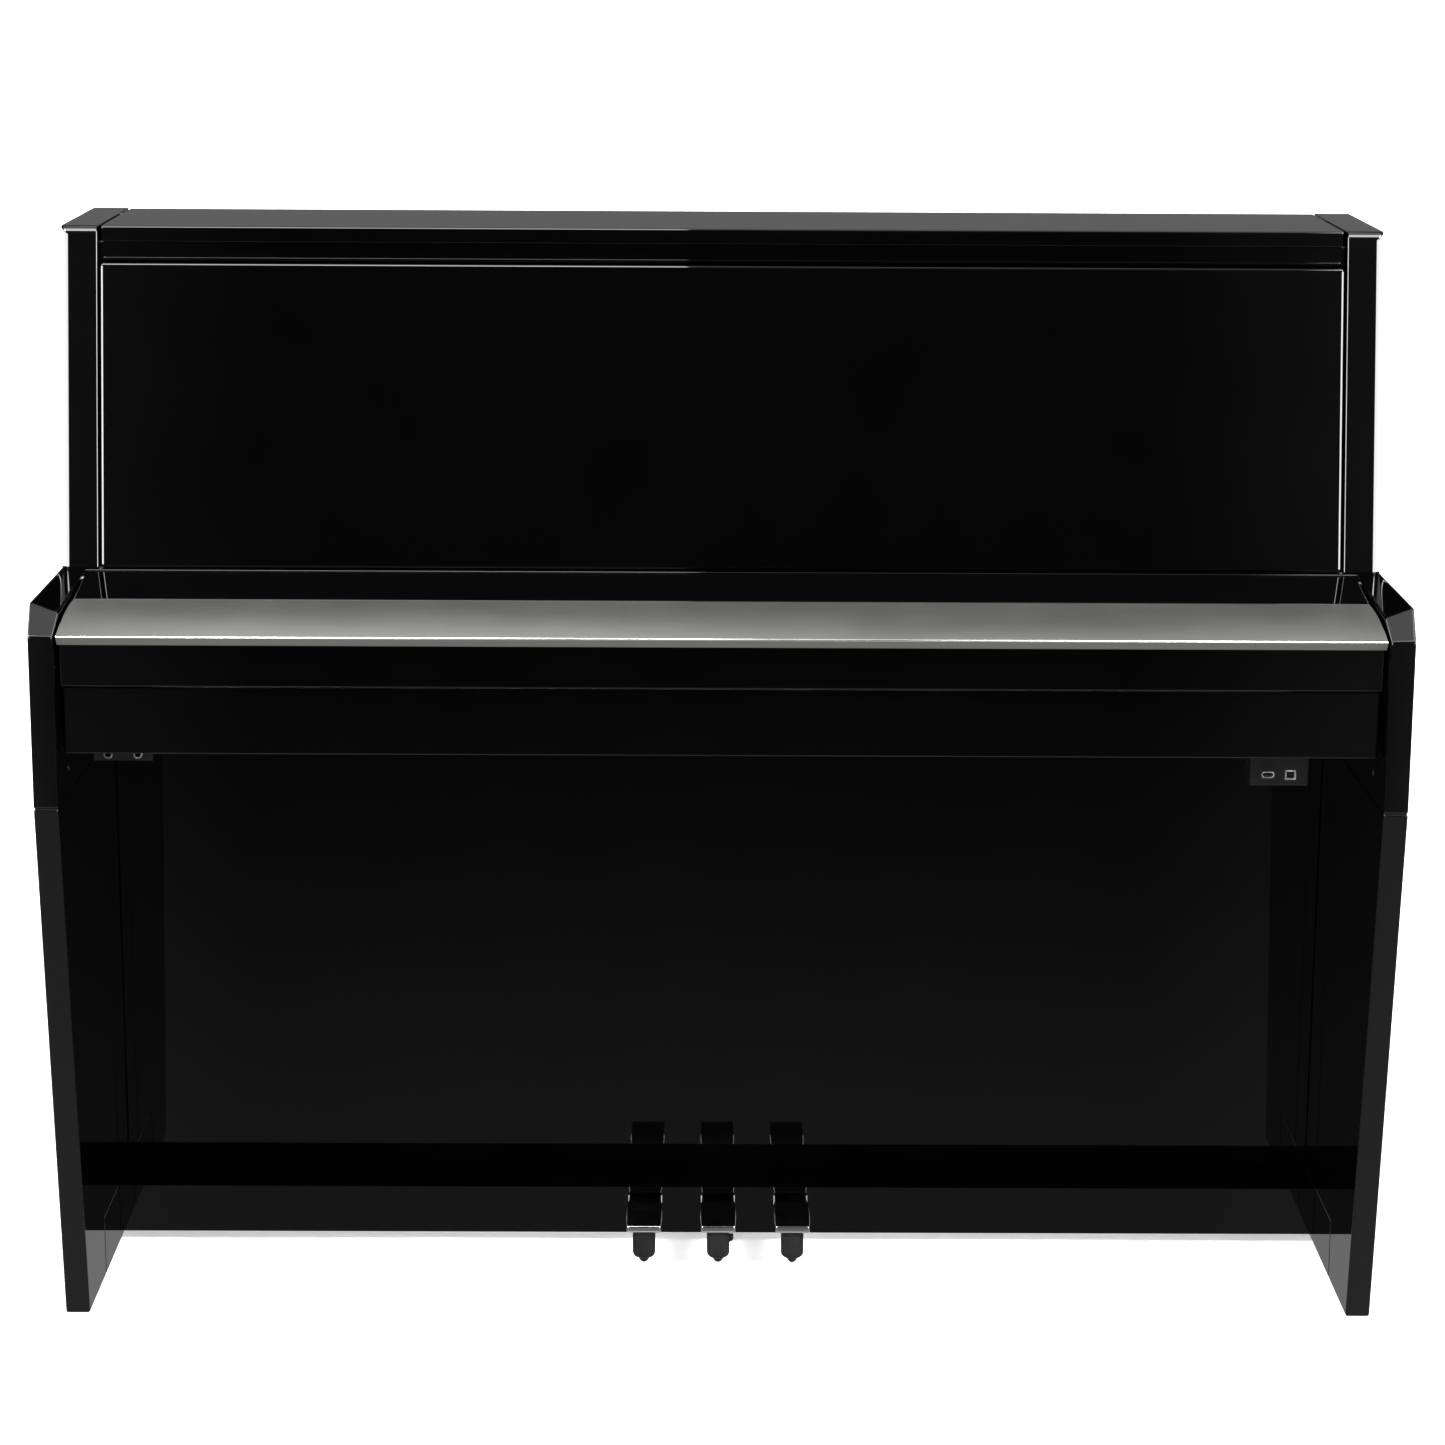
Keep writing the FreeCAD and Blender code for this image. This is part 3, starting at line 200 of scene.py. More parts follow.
def ebonyPlastic():
    material, nodes, links, shader = newMaterial("blackKeyPlastic")
    grain = addNoise(nodes, links, 1, 5, stretch=(1300, 40, 1300), roughness=0.65)
    links.new(addColours(nodes, links, grain, (0.006, 0.006, 0.006), (0.020, 0.019, 0.018)),
              shader.inputs["Base Color"])
    links.new(addRange(nodes, links, grain, 0.34, 0.52), shader.inputs["Roughness"])
    addBump(nodes, links, shader, grain, 0.00003, 0.8)
    return material


def pressedFelt():
    material, nodes, links, shader = newMaterial("redFelt")
    fuzz = addNoise(nodes, links, 1400, 6, roughness=0.8)
    links.new(addColours(nodes, links, fuzz, (0.12, 0.008, 0.012), (0.34, 0.03, 0.04)),
              shader.inputs["Base Color"])
    shader.inputs["Roughness"].default_value = 0.95
    shader.inputs["Sheen Weight"].default_value = 0.6
    shader.inputs["Sheen Roughness"].default_value = 0.5
    addBump(nodes, links, shader, fuzz, 0.0004)
    return material


def solderMask():
    # circuit board: green varnish over a fine pattern of tracks
    material, nodes, links, shader = newMaterial("greenBoard")
    coords = nodes.new("ShaderNodeTexCoord")
    tracks = nodes.new("ShaderNodeTexBrick")
    tracks.inputs["Scale"].default_value = 90
    tracks.inputs["Mortar Size"].default_value = 0.03
    tracks.inputs["Color1"].default_value = (0.012, 0.10, 0.035, 1)
    tracks.inputs["Color2"].default_value = (0.016, 0.13, 0.045, 1)
    tracks.inputs["Mortar"].default_value = (0.03, 0.22, 0.09, 1)
    links.new(coords.outputs["Object"], tracks.inputs["Vector"])
    links.new(tracks.outputs["Color"], shader.inputs["Base Color"])
    shader.inputs["Roughness"].default_value = 0.3
    return material


finish = {
    "black_gloss": lacquer(),
    "black_board": paintedBoard("blackBoard", (0.010, 0.010, 0.010), (0.015, 0.015, 0.0155), 0.64, 0.70),
    "black_satin": paintedBoard("blackSatin", (0.006, 0.006, 0.006), (0.010, 0.010, 0.011), 0.28, 0.38),
    "satin_aluminium": brushedMetal("satinAluminium", (0.27, 0.275, 0.255), (0.34, 0.345, 0.325),
                                    0.38, 0.41, (9, 2600, 2600)),
    "dark_aluminium": brushedMetal("darkAluminium", (0.07, 0.07, 0.075), (0.14, 0.14, 0.15),
                                   0.28, 0.38, (1500, 1500, 40)),
    "chrome_pedal": chromePlate(),
    "stopper_rubber": mouldedPlastic("stopperRubber", (0.0012, 0.0012, 0.0012), (0.003, 0.003, 0.003),
                                     0.42, 0.55, 0.0008, 0.00005),
    "white_key": ivoryPlastic(),
    "black_key": ebonyPlastic(),
    "red_felt": pressedFelt(),
    "steel": brushedMetal("zincSteel", (0.38, 0.39, 0.40), (0.58, 0.59, 0.60), 0.30, 0.45,
                          (60, 900, 900)),
    "black_steel": brushedMetal("blackSteel", (0.025, 0.025, 0.026), (0.05, 0.05, 0.052), 0.35, 0.5,
                                (700, 700, 700)),
    "black_plastic": mouldedPlastic("blackPlastic", (0.0025, 0.0025, 0.0025), (0.005, 0.005, 0.005),
                                    0.20, 0.28, 0.0006, 0.00001),
    "speaker_black": mouldedPlastic("speakerBlack", (0.012, 0.012, 0.012), (0.024, 0.024, 0.024),
                                    0.6, 0.8, 0.0011, 0.00012),
    "green_board": solderMask(),
}
# a much brighter copy of the strip's aluminium: a painted highlight for the thin lip along the nose
machinedEdge = brushedMetal("machinedEdge", (0.86, 0.87, 0.85), (0.93, 0.94, 0.92), 0.16, 0.24,
                            (9, 1800, 1800), 0.000006)
nodeSlot = {entry["node"]: entry["material_slot"] for entry in frame["record"]["subparts"]}
for nodeName, nodeObject in frame["nodes"].items():
    nodeObject.data.materials.clear()
    nodeObject.data.materials.append(finish[nodeSlot[nodeName]])
print("materials ready:", len(finish))


# shared steps of making a piece

def selectOnly(piece):
    if bpy.context.object and bpy.context.object.mode != "OBJECT":
        bpy.ops.object.mode_set(mode="OBJECT")
    bpy.ops.object.select_all(action="DESELECT")
    piece.select_set(True)
    bpy.context.view_layer.objects.active = piece


def applyModifier(piece, kind, **settings):
    selectOnly(piece)
    modifier = piece.modifiers.new(kind.title(), kind)
    for key, value in settings.items():
        setattr(modifier, key, value)
    bpy.ops.object.modifier_apply(modifier=modifier.name)


def cleanCopy(node, name):
    # the node's triangles, merged back into flat faces
    piece = bpy.data.objects.new(name, frame["nodes"][node].data.copy())
    bpy.context.scene.collection.objects.link(piece)
    selectOnly(piece)
    bpy.ops.object.mode_set(mode="EDIT")
    bpy.ops.mesh.select_all(action="SELECT")
    bpy.ops.mesh.remove_doubles(threshold=0.00002)
    bpy.ops.mesh.dissolve_limited(angle_limit=math.radians(0.5))
    bpy.ops.object.mode_set(mode="OBJECT")
    return piece


def softenEdges(piece, radius, wide=None, steps=4, shortest=0.008, sharpest=28, clamp=True):
    # radius on every sharp edge; wide is a rule that gives an edge its own radius
    mesh = piece.data
    work = bmesh.new()
    work.from_mesh(mesh)
    radii = []
    for edge in work.edges:
        sharp = len(edge.link_faces) == 2 and math.degrees(edge.calc_face_angle(0)) > sharpest
        size = radius if sharp and edge.calc_length() > shortest else 0
        if size and wide:
            size = wide(edge, size)
        radii.append(size)
    work.free()
    largest = max(radii)
    weights = mesh.attributes.new("bevel_weight_edge", "FLOAT", "EDGE")
    for index, size in enumerate(radii):
        weights.data[index].value = size / largest
    applyModifier(piece, "BEVEL", limit_method="WEIGHT", width=largest, segments=steps,
                  use_clamp_overlap=clamp, harden_normals=False)
    selectOnly(piece)
    bpy.ops.object.shade_smooth_by_angle(angle=math.radians(35))
    applyModifier(piece, "WEIGHTED_NORMAL", keep_sharp=True, weight=90)
    return piece


def stand(piece, node, slot=None):
    # the finished piece takes the node's place, body and finish
    slotName = slot or nodeSlot[node]
    piece.data.materials.clear()
    piece.data.materials.append(finish[slotName])
    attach(piece, frame["nodes"][node]["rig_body"])
    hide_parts(node)
    return piece


def join(pieces, name):
    selectOnly(pieces[0])
    for piece in pieces[1:]:
        piece.select_set(True)
    bpy.ops.object.join()
    pieces[0].name = name
    return pieces[0]


def addBlock(low, high):
    # a cube at its size and place, ready for edit mode
    bpy.ops.object.select_all(action="DESELECT")
    middle = (Vector(low) + Vector(high)) / 2
    bpy.ops.mesh.primitive_cube_add(size=1, location=middle)
    piece = bpy.context.object
    piece.scale = Vector(high) - Vector(low)
    bpy.ops.object.transform_apply(location=True, rotation=True, scale=True)
    return piece


def turned(name, points, centre, along=(0, 0, 1), steps=48, flutes=None):
    # spin an outline of (radius, height) in millimetres round the line through centre
    along = Vector(along)
    centre = Vector(centre)
    side = Vector((1, 0, 0)) if abs(along.x) < 0.5 else Vector((0, 1, 0))
    outline = [centre + side * radius * mm + along * height * mm for radius, height in points]
    mesh = bpy.data.meshes.new(name)
    mesh.from_pydata(outline, [(i, i + 1) for i in range(len(outline) - 1)], [])
    piece = bpy.data.objects.new(name, mesh)
    bpy.context.scene.collection.objects.link(piece)
    selectOnly(piece)
    bpy.ops.object.mode_set(mode="EDIT")
    bpy.ops.mesh.select_all(action="SELECT")
    bpy.ops.mesh.spin(steps=steps, angle=math.tau, center=centre, axis=along)
    bpy.ops.mesh.select_all(action="SELECT")
    bpy.ops.mesh.remove_doubles(threshold=0.00001)
    bpy.ops.mesh.normals_make_consistent(inside=False)
    bpy.ops.object.mode_set(mode="OBJECT")
    if flutes:
        # every second upright line of the wall between two heights goes inwards
        low, high, depth = flutes
        across = along.cross(side)
        for vert in piece.data.vertices:
            reach = vert.co - centre
            height = reach.dot(along) / mm
            angle = math.atan2(reach.dot(across), reach.dot(side))
            if low <= height <= high and round(angle / (math.tau / steps)) % 2:
                flat = reach - along * reach.dot(along)
                vert.co -= flat.normalized() * depth * mm
    selectOnly(piece)
    bpy.ops.object.shade_smooth_by_angle(angle=math.radians(32))
    return piece


def pressed(name, outline, low, high, wall):
    # frame of the given wall from a flat (x, z) outline in millimetres, between two values of y
    mesh = bpy.data.meshes.new(name)
    mesh.from_pydata([(x * mm, low * mm, z * mm) for x, z in outline], [], [list(range(len(outline)))])
    piece = bpy.data.objects.new(name, mesh)
    bpy.context.scene.collection.objects.link(piece)
    selectOnly(piece)
    bpy.ops.object.mode_set(mode="EDIT")
    bpy.ops.mesh.select_all(action="SELECT")
    bpy.ops.mesh.inset(thickness=wall * mm)
    bpy.ops.mesh.delete(type="ONLY_FACE")
    bpy.ops.mesh.select_all(action="SELECT")
    bpy.ops.mesh.extrude_region_move(TRANSFORM_OT_translate={"value": (0, (high - low) * mm, 0)})
    bpy.ops.mesh.select_all(action="SELECT")
    bpy.ops.mesh.normals_make_consistent(inside=False)
    bpy.ops.object.mode_set(mode="OBJECT")
    return piece


def pieceName(node):
    # key_slip becomes keySlip
    title = "".join(word.title() for word in node.split("_"))
    return title[0].lower() + title[1:]


def addOn(piece, node, slotName):
    # an extra piece on the body of a node
    piece.data.materials.clear()
    piece.data.materials.append(finish[slotName])
    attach(piece, frame["nodes"][node]["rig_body"])
    return piece


# cabinet boards

cabinet = {"postEdge": 9.5 * mm, "panelEdge": 3.5 * mm, "lidEdge": 3.0 * mm,
           "jointEdge": 2.6 * mm, "innerEdge": 1.2 * mm}


def postRule(side):
    # large radius on the post's outer upright edges and across its front top
    low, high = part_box("left_upper_side" if side < 0 else "right_upper_side")
    outer = low.x if side < 0 else high.x

    def rule(edge, size):
        a, b = (vert.co for vert in edge.verts)
        onOuter = abs(a.x - outer) < mm and abs(b.x - outer) < mm
        front = max(a.y, b.y) < high.y - 20 * mm
        upright = abs(a.z - b.z) > 100 * mm
        top = min(a.z, b.z) > high.z - mm
        if front and (top or (onOuter and upright)):
            return cabinet["postEdge"]
        foot = max(a.z, b.z) < low.z + mm
        return 0.5 * mm if foot else size
    return rule


def bisected(piece, cuts, normal=(0, 1, 0)):
    # cut the piece through at each place along the normal
    selectOnly(piece)
    bpy.ops.object.mode_set(mode="EDIT")
    for cut in cuts:
        bpy.ops.mesh.select_all(action="SELECT")
        bpy.ops.mesh.bisect(plane_co=Vector(normal) * cut, plane_no=normal)
    bpy.ops.object.mode_set(mode="OBJECT")
    return piece


# upper side: leaning front, big rounding along its outer front edge
postShape = {"setback": 67.0}
for side, word in ((-1, "left"), (1, "right")):
    node = word + "_upper_side"
    low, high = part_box(node)
    post = addBlock(low, high)
    post.name = word + "Post"
    for vert in post.data.vertices:
        if vert.co.z > high.z - mm and vert.co.y < low.y + mm:
            vert.co.y += postShape["setback"] * mm
    stand(softenEdges(post, cabinet["innerEdge"], postRule(side), 8), node)

# arm: level outer edge, inner edge falling towards the front, and a crest that crosses between them
armShape = {"front": -260, "crest": -218, "rear": -38, "inside": 720.0,
            "frontZ": 794.0, "innerLowZ": 812.0, "outerCrest": -237.4}
for side, word in ((-1, "left"), (1, "right")):
    node = word + "_arm"
    low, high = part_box(node)
    arm = bisected(addBlock(low, high), [armShape["crest"] * mm, armShape["rear"] * mm])
    arm.name = word + "Arm"
    for vert in arm.data.vertices:
        place = round(vert.co.y / mm)
        isInner = abs(vert.co.x) < armShape["inside"] * mm
        vert.select = False
        if vert.co.z < high.z - mm:
            continue
        if place == armShape["front"]:
            vert.co.z = armShape["frontZ"] * mm
        elif place == armShape["crest"] and isInner:
            vert.co.z = armShape["innerLowZ"] * mm
            vert.select = True
        elif place == armShape["crest"]:
            vert.co.y = armShape["outerCrest"] * mm
        elif place == armShape["rear"] and not isInner:
            vert.select = True
    for part in list(arm.data.edges) + list(arm.data.polygons):
        part.select = False
    selectOnly(arm)
    bpy.ops.object.mode_set(mode="EDIT")
    bpy.ops.mesh.select_mode(type="VERT")
    bpy.ops.mesh.vert_connect()
    bpy.ops.object.mode_set(mode="OBJECT")
    stand(softenEdges(arm, cabinet["jointEdge"], steps=5, sharpest=20), node)

for side, word in ((-1, "left"), (1, "right")):
    for node, name in (("_leg", "Leg"), ("_lower_side", "LowerSide")):
        stand(softenEdges(cleanCopy(word + node, word + name), cabinet["jointEdge"]), word + node)

plainBoards = {
    "deck": 1.2 * mm, "key_slip": 1.6 * mm, "key_bed": 1.0 * mm, "bottom_board": 1.0 * mm,
    "knee_panel": 0.8 * mm, "pedal_board": 1.5 * mm, "back_panel": 0.6 * mm, "name_board": 1.0 * mm,
    "key_blocks": 1.2 * mm, "upper_front_panel": cabinet["panelEdge"], "top_lid": cabinet["lidEdge"],
    "fallboard": 1.5 * mm,
}
# the fallboard's front is crowned: it rises quickly behind the nose and then levels out
crown = {"front": -259.5, "rear": -141.0, "rise": 17.9, "power": 2.2, "cuts": 14, "spacing": 1.4,
         "floorY": -256.5, "floorZ": 790.5, "floorSlope": 0.1506}


def crownUp(piece, floorAt):
    # lift what lies above floorAt(y) between the nose and the strip's rear
    span = crown["rear"] - crown["front"]
    shares = [(step / crown["cuts"]) ** crown["spacing"] for step in range(1, crown["cuts"])]
    cuts = [(crown["front"] + span * share) * mm for share in shares]
    bisected(piece, cuts + [crown["rear"] * mm])
    for vert in piece.data.vertices:
        share = (vert.co.y / mm - crown["front"]) / span
        if 0 < share < 1 and vert.co.z / mm > floorAt(vert.co.y / mm):
            curve = 1 - (1 - share) ** crown["power"]
            vert.co.z += crown["rise"] * (curve - share) * mm
    return piece


def lidRule(edge, size):
    # rounded upper front edge and front corners, crisp elsewhere
    a, b = (vert.co for vert in edge.verts)
    atFront = max(a.y, b.y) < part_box("top_lid")[0].y + 6 * mm
    below = max(a.z, b.z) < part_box("top_lid")[0].z + mm
    return size if atFront and not below else 0.8 * mm


# bores and short edges would shrink the rounding of these if it were clamped
unclamped = ("top_lid", "deck", "fallboard", "upper_front_panel", "key_slip")
for node, radius in plainBoards.items():
    board = cleanCopy(node, pieceName(node))
    if node == "fallboard":
        crownUp(board, lambda y: crown["floorZ"] + (y - crown["floorY"]) * crown["floorSlope"])
    rule = lidRule if node == "top_lid" else None
    stand(softenEdges(board, radius, rule, 5, clamp=node not in unclamped), node)

rail = {"edge": 1.0, "beadDepth": 2.6, "beadHeight": 4.4, "beadEdge": 1.9, "inset": 4.0}
low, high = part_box("top_rail")
railBody = softenEdges(cleanCopy("top_rail", "topRail"), rail["edge"] * mm)
bead = addBlock((low.x + rail["inset"] * mm, low.y - rail["beadDepth"] * mm, low.z + 0.1 * mm),
                (high.x - rail["inset"] * mm, low.y + mm, low.z + rail["beadHeight"] * mm))
softenEdges(bead, rail["beadEdge"] * mm, steps=6, shortest=0.002)
stand(join([railBody, bead], "topRail"), "top_rail")

screwCaps = {"y": -0.190, "z": 0.636, "steps": 32,
             "outline": [(0, 1.3), (2.4, 1.2), (3.9, 0.8), (4.5, 0.2), (4.6, -0.2), (0, -0.2)]}
for side, word in ((-1, "left"), (1, "right")):
    low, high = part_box(word + "_arm")
    place = (high.x if side < 0 else low.x, screwCaps["y"], screwCaps["z"])
    cap = turned(word + "ScrewCap", screwCaps["outline"], place, (-side, 0, 0), screwCaps["steps"])
    addOn(cap, word + "_arm", "black_plastic")
print("cabinet boards rounded")

# aluminium strip; along its nose a thin lip in a much brighter copy of the metal paints the highlight line
trimShape = {"edge": 0.8 * mm, "lip": 1.25, "chamfer": 0.5, "lipY": -258.4, "lipZ": 794.0}
strip = crownUp(cleanCopy("fallboard_trim", "fallboardTrim"), lambda y: crown["floorZ"])
softenEdges(strip, trimShape["edge"], steps=4, sharpest=24)
stand(strip, "fallboard_trim")
low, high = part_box("fallboard_trim")
width = (high.x - low.x) / mm
lipOutline = [(0, 0), (trimShape["lip"] * 0.8, 0), (trimShape["lip"], trimShape["chamfer"]),
              (trimShape["lip"], width - trimShape["chamfer"]), (trimShape["lip"] * 0.8, width), (0, width)]
lip = turned("trimLip", lipOutline, (low.x, trimShape["lipY"] * mm, trimShape["lipZ"] * mm), (1, 0, 0), 24)
addOn(lip, "fallboard_trim", "satin_aluminium")
# the lip wears the brighter copy of the metal, a painted highlight
lip.data.materials[0] = machinedEdge


# keys

keyEdges = {"white_key": 0.7 * mm, "black_key": 1.1 * mm}
for node in frame["nodes"]:
    if nodeSlot[node] in keyEdges:
        key = cleanCopy(node, pieceName(node))
        stand(softenEdges(key, keyEdges[nodeSlot[node]], steps=3, shortest=0.004), node)
print("keys rounded")

smallParts = {
    "usb_box": 1.0 * mm, "headphone_box": 1.0 * mm, "key_frame": 0.8 * mm, "pedal_bracket": 0.5 * mm,
    "power_supply": 1.5 * mm, "circuit_board": 0.2 * mm, "mains_inlet": 0.8 * mm, "speakers": 1.5 * mm,
    "lid_pivot_pins": 0.4 * mm, "pedal_axle": 0.5 * mm, "back_panel_screws": 0.5 * mm,
    "power_button": 0.8 * mm, "adjuster_foot": 1.2 * mm,
}
for node, radius in smallParts.items():
    stand(softenEdges(cleanCopy(node, pieceName(node)), radius, steps=3, shortest=0.0004), node)


# sockets

sockets = {"z": 635.0, "face": -200.0, "proud": 0.4, "depth": 11.0}
flatSocket = {"x": 592.3, "wall": 1.0, "half": 7.2, "upper": 5.0, "tall": 3.45, "side": 0.6}
squareSocket = {"x": 616.7, "wall": 1.5, "half": 5.95, "upper": 4.6, "tall": 5.35, "side": 4.0}
for name, shape in (("flatSocket", flatSocket), ("squareSocket", squareSocket)):
    corners = [(-shape["half"], shape["side"]), (-shape["upper"], shape["tall"]),
               (shape["upper"], shape["tall"]), (shape["half"], shape["side"])]
    if name == "flatSocket":
        corners += [(-x, -z) for x, z in corners]
    else:
        corners += [(shape["half"], -shape["tall"]), (-shape["half"], -shape["tall"])]
    outline = [(shape["x"] + x, sockets["z"] + z) for x, z in corners]
    front = sockets["face"] - sockets["proud"]
    shield = pressed(name, outline, front, sockets["face"] + sockets["depth"], shape["wall"])
    softenEdges(shield, 0.25 * mm, steps=2, shortest=0.0008)
    addOn(shield, "usb_box", "steel")

# low corner, high corner and edge of the flat port's tongue and the square port's block
tongues = [((0.5883, -0.1975, 0.6343), (0.5963, -0.1870, 0.6357), 0.3),
           ((0.6139, -0.1965, 0.6323), (0.6195, -0.1870, 0.6377), 0.6)]
parts = []
for low, high, edge in tongues:
    parts.append(softenEdges(addBlock(low, high), edge * mm, steps=2, shortest=0.0005))
addOn(join(parts, "socketTongues"), "usb_box", "black_plastic")

jackRings = {"places": (-663.0, -631.0), "y": -0.200, "z": 0.653, "steps": 40,
             "outline": [(3.25, 8.0), (3.25, -0.3), (3.5, -0.7), (4.6, -0.7), (5.0, -0.3), (5.0, 0.3),
                         (4.4, 8.0), (3.25, 8.0)]}
for x in jackRings["places"]:
    place = (x * mm, jackRings["y"], jackRings["z"])
    ring = turned("jackRing" + str(int(-x)), jackRings["outline"], place, (0, 1, 0), jackRings["steps"])
    addOn(ring, "headphone_box", "steel")

mainsPins = {"places": ((520.0, 722.4), (513.2, 717.6), (526.8, 717.6)), "half": (1.0, 2.0),
             "rear": 0.238, "tip": 0.2545, "edge": 0.6}
halfWide, halfTall = mainsPins["half"]
for index, (x, z) in enumerate(mainsPins["places"]):
    pin = addBlock(((x - halfWide) * mm, mainsPins["rear"], (z - halfTall) * mm),
                   ((x + halfWide) * mm, mainsPins["tip"], (z + halfTall) * mm))
    softenEdges(pin, mainsPins["edge"] * mm, steps=3, shortest=0.0008)
    addOn(pin, "mains_inlet", "steel").name = "mainsPin" + str(index)
print("sockets ready")


# pedals

# blade with an undercut lip, a crest and shoulders, then a neck through the board and a lever
pedalShape = {
    # distance behind the blade's front: half width, bottom, top
    "sections": {0.0: (19.0, 53.2, 60.2), 3.4: (20.0, 50.6, 60.9), 12.0: (20.7, 51.0, 61.7),
                 30.0: (21.0, 50.8, 62.6), 56.0: (21.0, 50.5, 63.0), 70.0: (20.9, 48.8, 62.1),
                 80.0: (20.2, 46.6, 60.2), 90.0: (19.2, 42.0, 58.6), 104.0: (18.8, 38.0, 57.6),
                 124.0: (18.6, 37.4, 57.0), 132.0: (11.0, 36.5, 47.5), 242.0: (11.0, 36.5, 47.5),
                 252.0: (11.0, 35.5, 48.5), 268.0: (11.0, 35.5, 48.5)},
    "edge": 1.5, "blank": (50.0, 62.0),
}
for node in ("soft_pedal", "sostenuto_pedal", "damper_pedal"):
    low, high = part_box(node)
    middle = (low.x + high.x) / 2
    places = sorted(pedalShape["sections"])
    underside, topside = (height * mm for height in pedalShape["blank"])
    blade = addBlock((low.x, low.y, underside), (high.x, high.y, topside))
    bisected(blade, [low.y + place * mm for place in places[1:-1]])
    blade.name = node.split("_")[0] + "Pedal"
    for vert in blade.data.vertices:
        place = min(places, key=lambda value: abs(low.y + value * mm - vert.co.y))
        half, bottom, top = pedalShape["sections"][place]
        vert.co.x = middle + math.copysign(half * mm, vert.co.x - middle)
        vert.co.z = (bottom if vert.co.z < (underside + topside) / 2 else top) * mm
    stand(softenEdges(blade, pedalShape["edge"] * mm, steps=5, shortest=0.003), node)

# rubber stoppers: ribbed barrel, shoulder and rounded tip
stopperOutline = [(0, 0), (1.6, 0.15), (3.2, 0.9), (4.6, 2.2), (5.6, 3.9), (6.2, 5.6), (6.4, 6.8),
                  (8.8, 7.2), (10.8, 8.2), (12.2, 9.6), (12.9, 11.2), (13.15, 13.0), (13.15, 34.4),
                  (12.7, 35.4), (11.9, 35.9), (11.9, 38.6), (11.4, 39.3), (0, 39.3)]
for node in ("soft_pedal_stopper", "sostenuto_pedal_stopper", "damper_pedal_stopper"):
    low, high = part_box(node)
    foot = ((low.x + high.x) / 2, (low.y + high.y) / 2, low.z)
    title = node.split("_")[0] + "Stopper"
    stand(turned(title, stopperOutline, foot, steps=64, flutes=(12.5, 34.6, 0.7)), node)


# springs on the axle: wire wound round it

springWire = {"turns": 8, "wire": 1.1, "perTurn": 10, "spacing": 86.0, "endGap": 2.4, "skin": 1.2}


def springCoil(name, centre, length, radius):
    curve = bpy.data.curves.new(name, "CURVE")
    curve.dimensions = "3D"
    curve.bevel_depth = springWire["wire"] * mm
    curve.bevel_resolution = 2
    spline = curve.splines.new("NURBS")
    count = springWire["turns"] * springWire["perTurn"]
    spline.points.add(count)
    for index in range(count + 1):
        angle = math.tau * index / springWire["perTurn"]
        x = centre.x - length / 2 + length * index / count
        y = centre.y + radius * math.cos(angle)
        z = centre.z + radius * math.sin(angle)
        spline.points[index].co = (x, y, z, 1)
    spline.order_u = 4
    spline.use_endpoint_u = True
    curve.use_fill_caps = True
    piece = bpy.data.objects.new(name, curve)
    bpy.context.scene.collection.objects.link(piece)
    selectOnly(piece)
    bpy.ops.object.convert(target="MESH")
    return bpy.context.object


springNode = frame["nodes"]["pedal_springs"]
springCentres = {}
for vert in springNode.data.vertices:
    side = round(vert.co.x / (springWire["spacing"] * mm))
    springCentres.setdefault(side, []).append(vert.co.x)
low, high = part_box("pedal_springs")
coils = []
for side, values in sorted(springCentres.items()):
    centre = Vector(((min(values) + max(values)) / 2, (low.y + high.y) / 2, (low.z + high.z) / 2))
    length = max(values) - min(values) - springWire["endGap"] * mm
    radius = (high.z - low.z) / 2 - springWire["skin"] * mm
    coils.append(springCoil("springCoil", centre, length, radius))
springs = join(coils, "pedalSprings")
bpy.ops.object.shade_smooth()
stand(springs, "pedal_springs")
print("pedals, stoppers and springs ready")


# controls and felts

knob = {"steps": 72, "groove": 0.35}
low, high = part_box("volume_knob")
tall = (high.z - low.z) / mm
knobOutline = [(0, 0), (4.0, 0), (4.0, 8.0), (10.2, 8.0), (10.9, 8.7), (10.95, 9.5), (10.95, tall - 2.2),
               (10.4, tall - 0.9), (9.3, tall - 0.15), (8.6, tall), (7.9, tall - 0.5), (0, tall - 0.7)]
middle = ((low.x + high.x) / 2, (low.y + high.y) / 2, low.z)
flutes = (9.2, tall - 2.0, knob["groove"])
stand(turned("volumeKnob", knobOutline, middle, steps=knob["steps"], flutes=flutes), "volume_knob")

feltShape = {"edge": 1.1, "step": 50.0, "cuts": 12, "topZ": 715.0, "near": 0.6, "wave": 0.18, "rate": 41}
felts = softenEdges(cleanCopy("key_felts", "keyFelts"), feltShape["edge"] * mm, steps=4)
cuts = [place * feltShape["step"] * mm for place in range(-feltShape["cuts"], feltShape["cuts"] + 1)]
bisected(felts, cuts, (1, 0, 0))
for vert in felts.data.vertices:
    # cut cloth is never quite even: a slow change along its length
    if abs(vert.co.z - feltShape["topZ"] * mm) < feltShape["near"] * mm:
        vert.co.z -= feltShape["wave"] * mm * (1 + math.sin(vert.co.x * feltShape["rate"]))
stand(felts, "key_felts")
print("controls and felts ready")


# studio

floorShape = {"size": 240, "dark": (0.86, 0.86, 0.855), "light": (0.88, 0.88, 0.875), "glow": 0.5}


def makeFloor():
    bpy.ops.object.select_all(action="DESELECT")
    bpy.ops.mesh.primitive_plane_add(size=floorShape["size"], location=(0, 0, 0))
    floor = bpy.context.object
    floor.name = "floor"
    material, nodes, links, shader = newMaterial("paleFloor")
    cloud = addNoise(nodes, links, 0.7, 2)
    links.new(addColours(nodes, links, cloud, floorShape["dark"], floorShape["light"]),
              shader.inputs["Base Color"])
    shader.inputs["Roughness"].default_value = 0.95
    shader.inputs["Specular IOR Level"].default_value = 0.1
    shader.inputs["Emission Color"].default_value = (0.9, 0.9, 0.9, 1)
    shader.inputs["Emission Strength"].default_value = floorShape["glow"]
    floor.data.materials.append(material)
    floor.visible_glossy = False


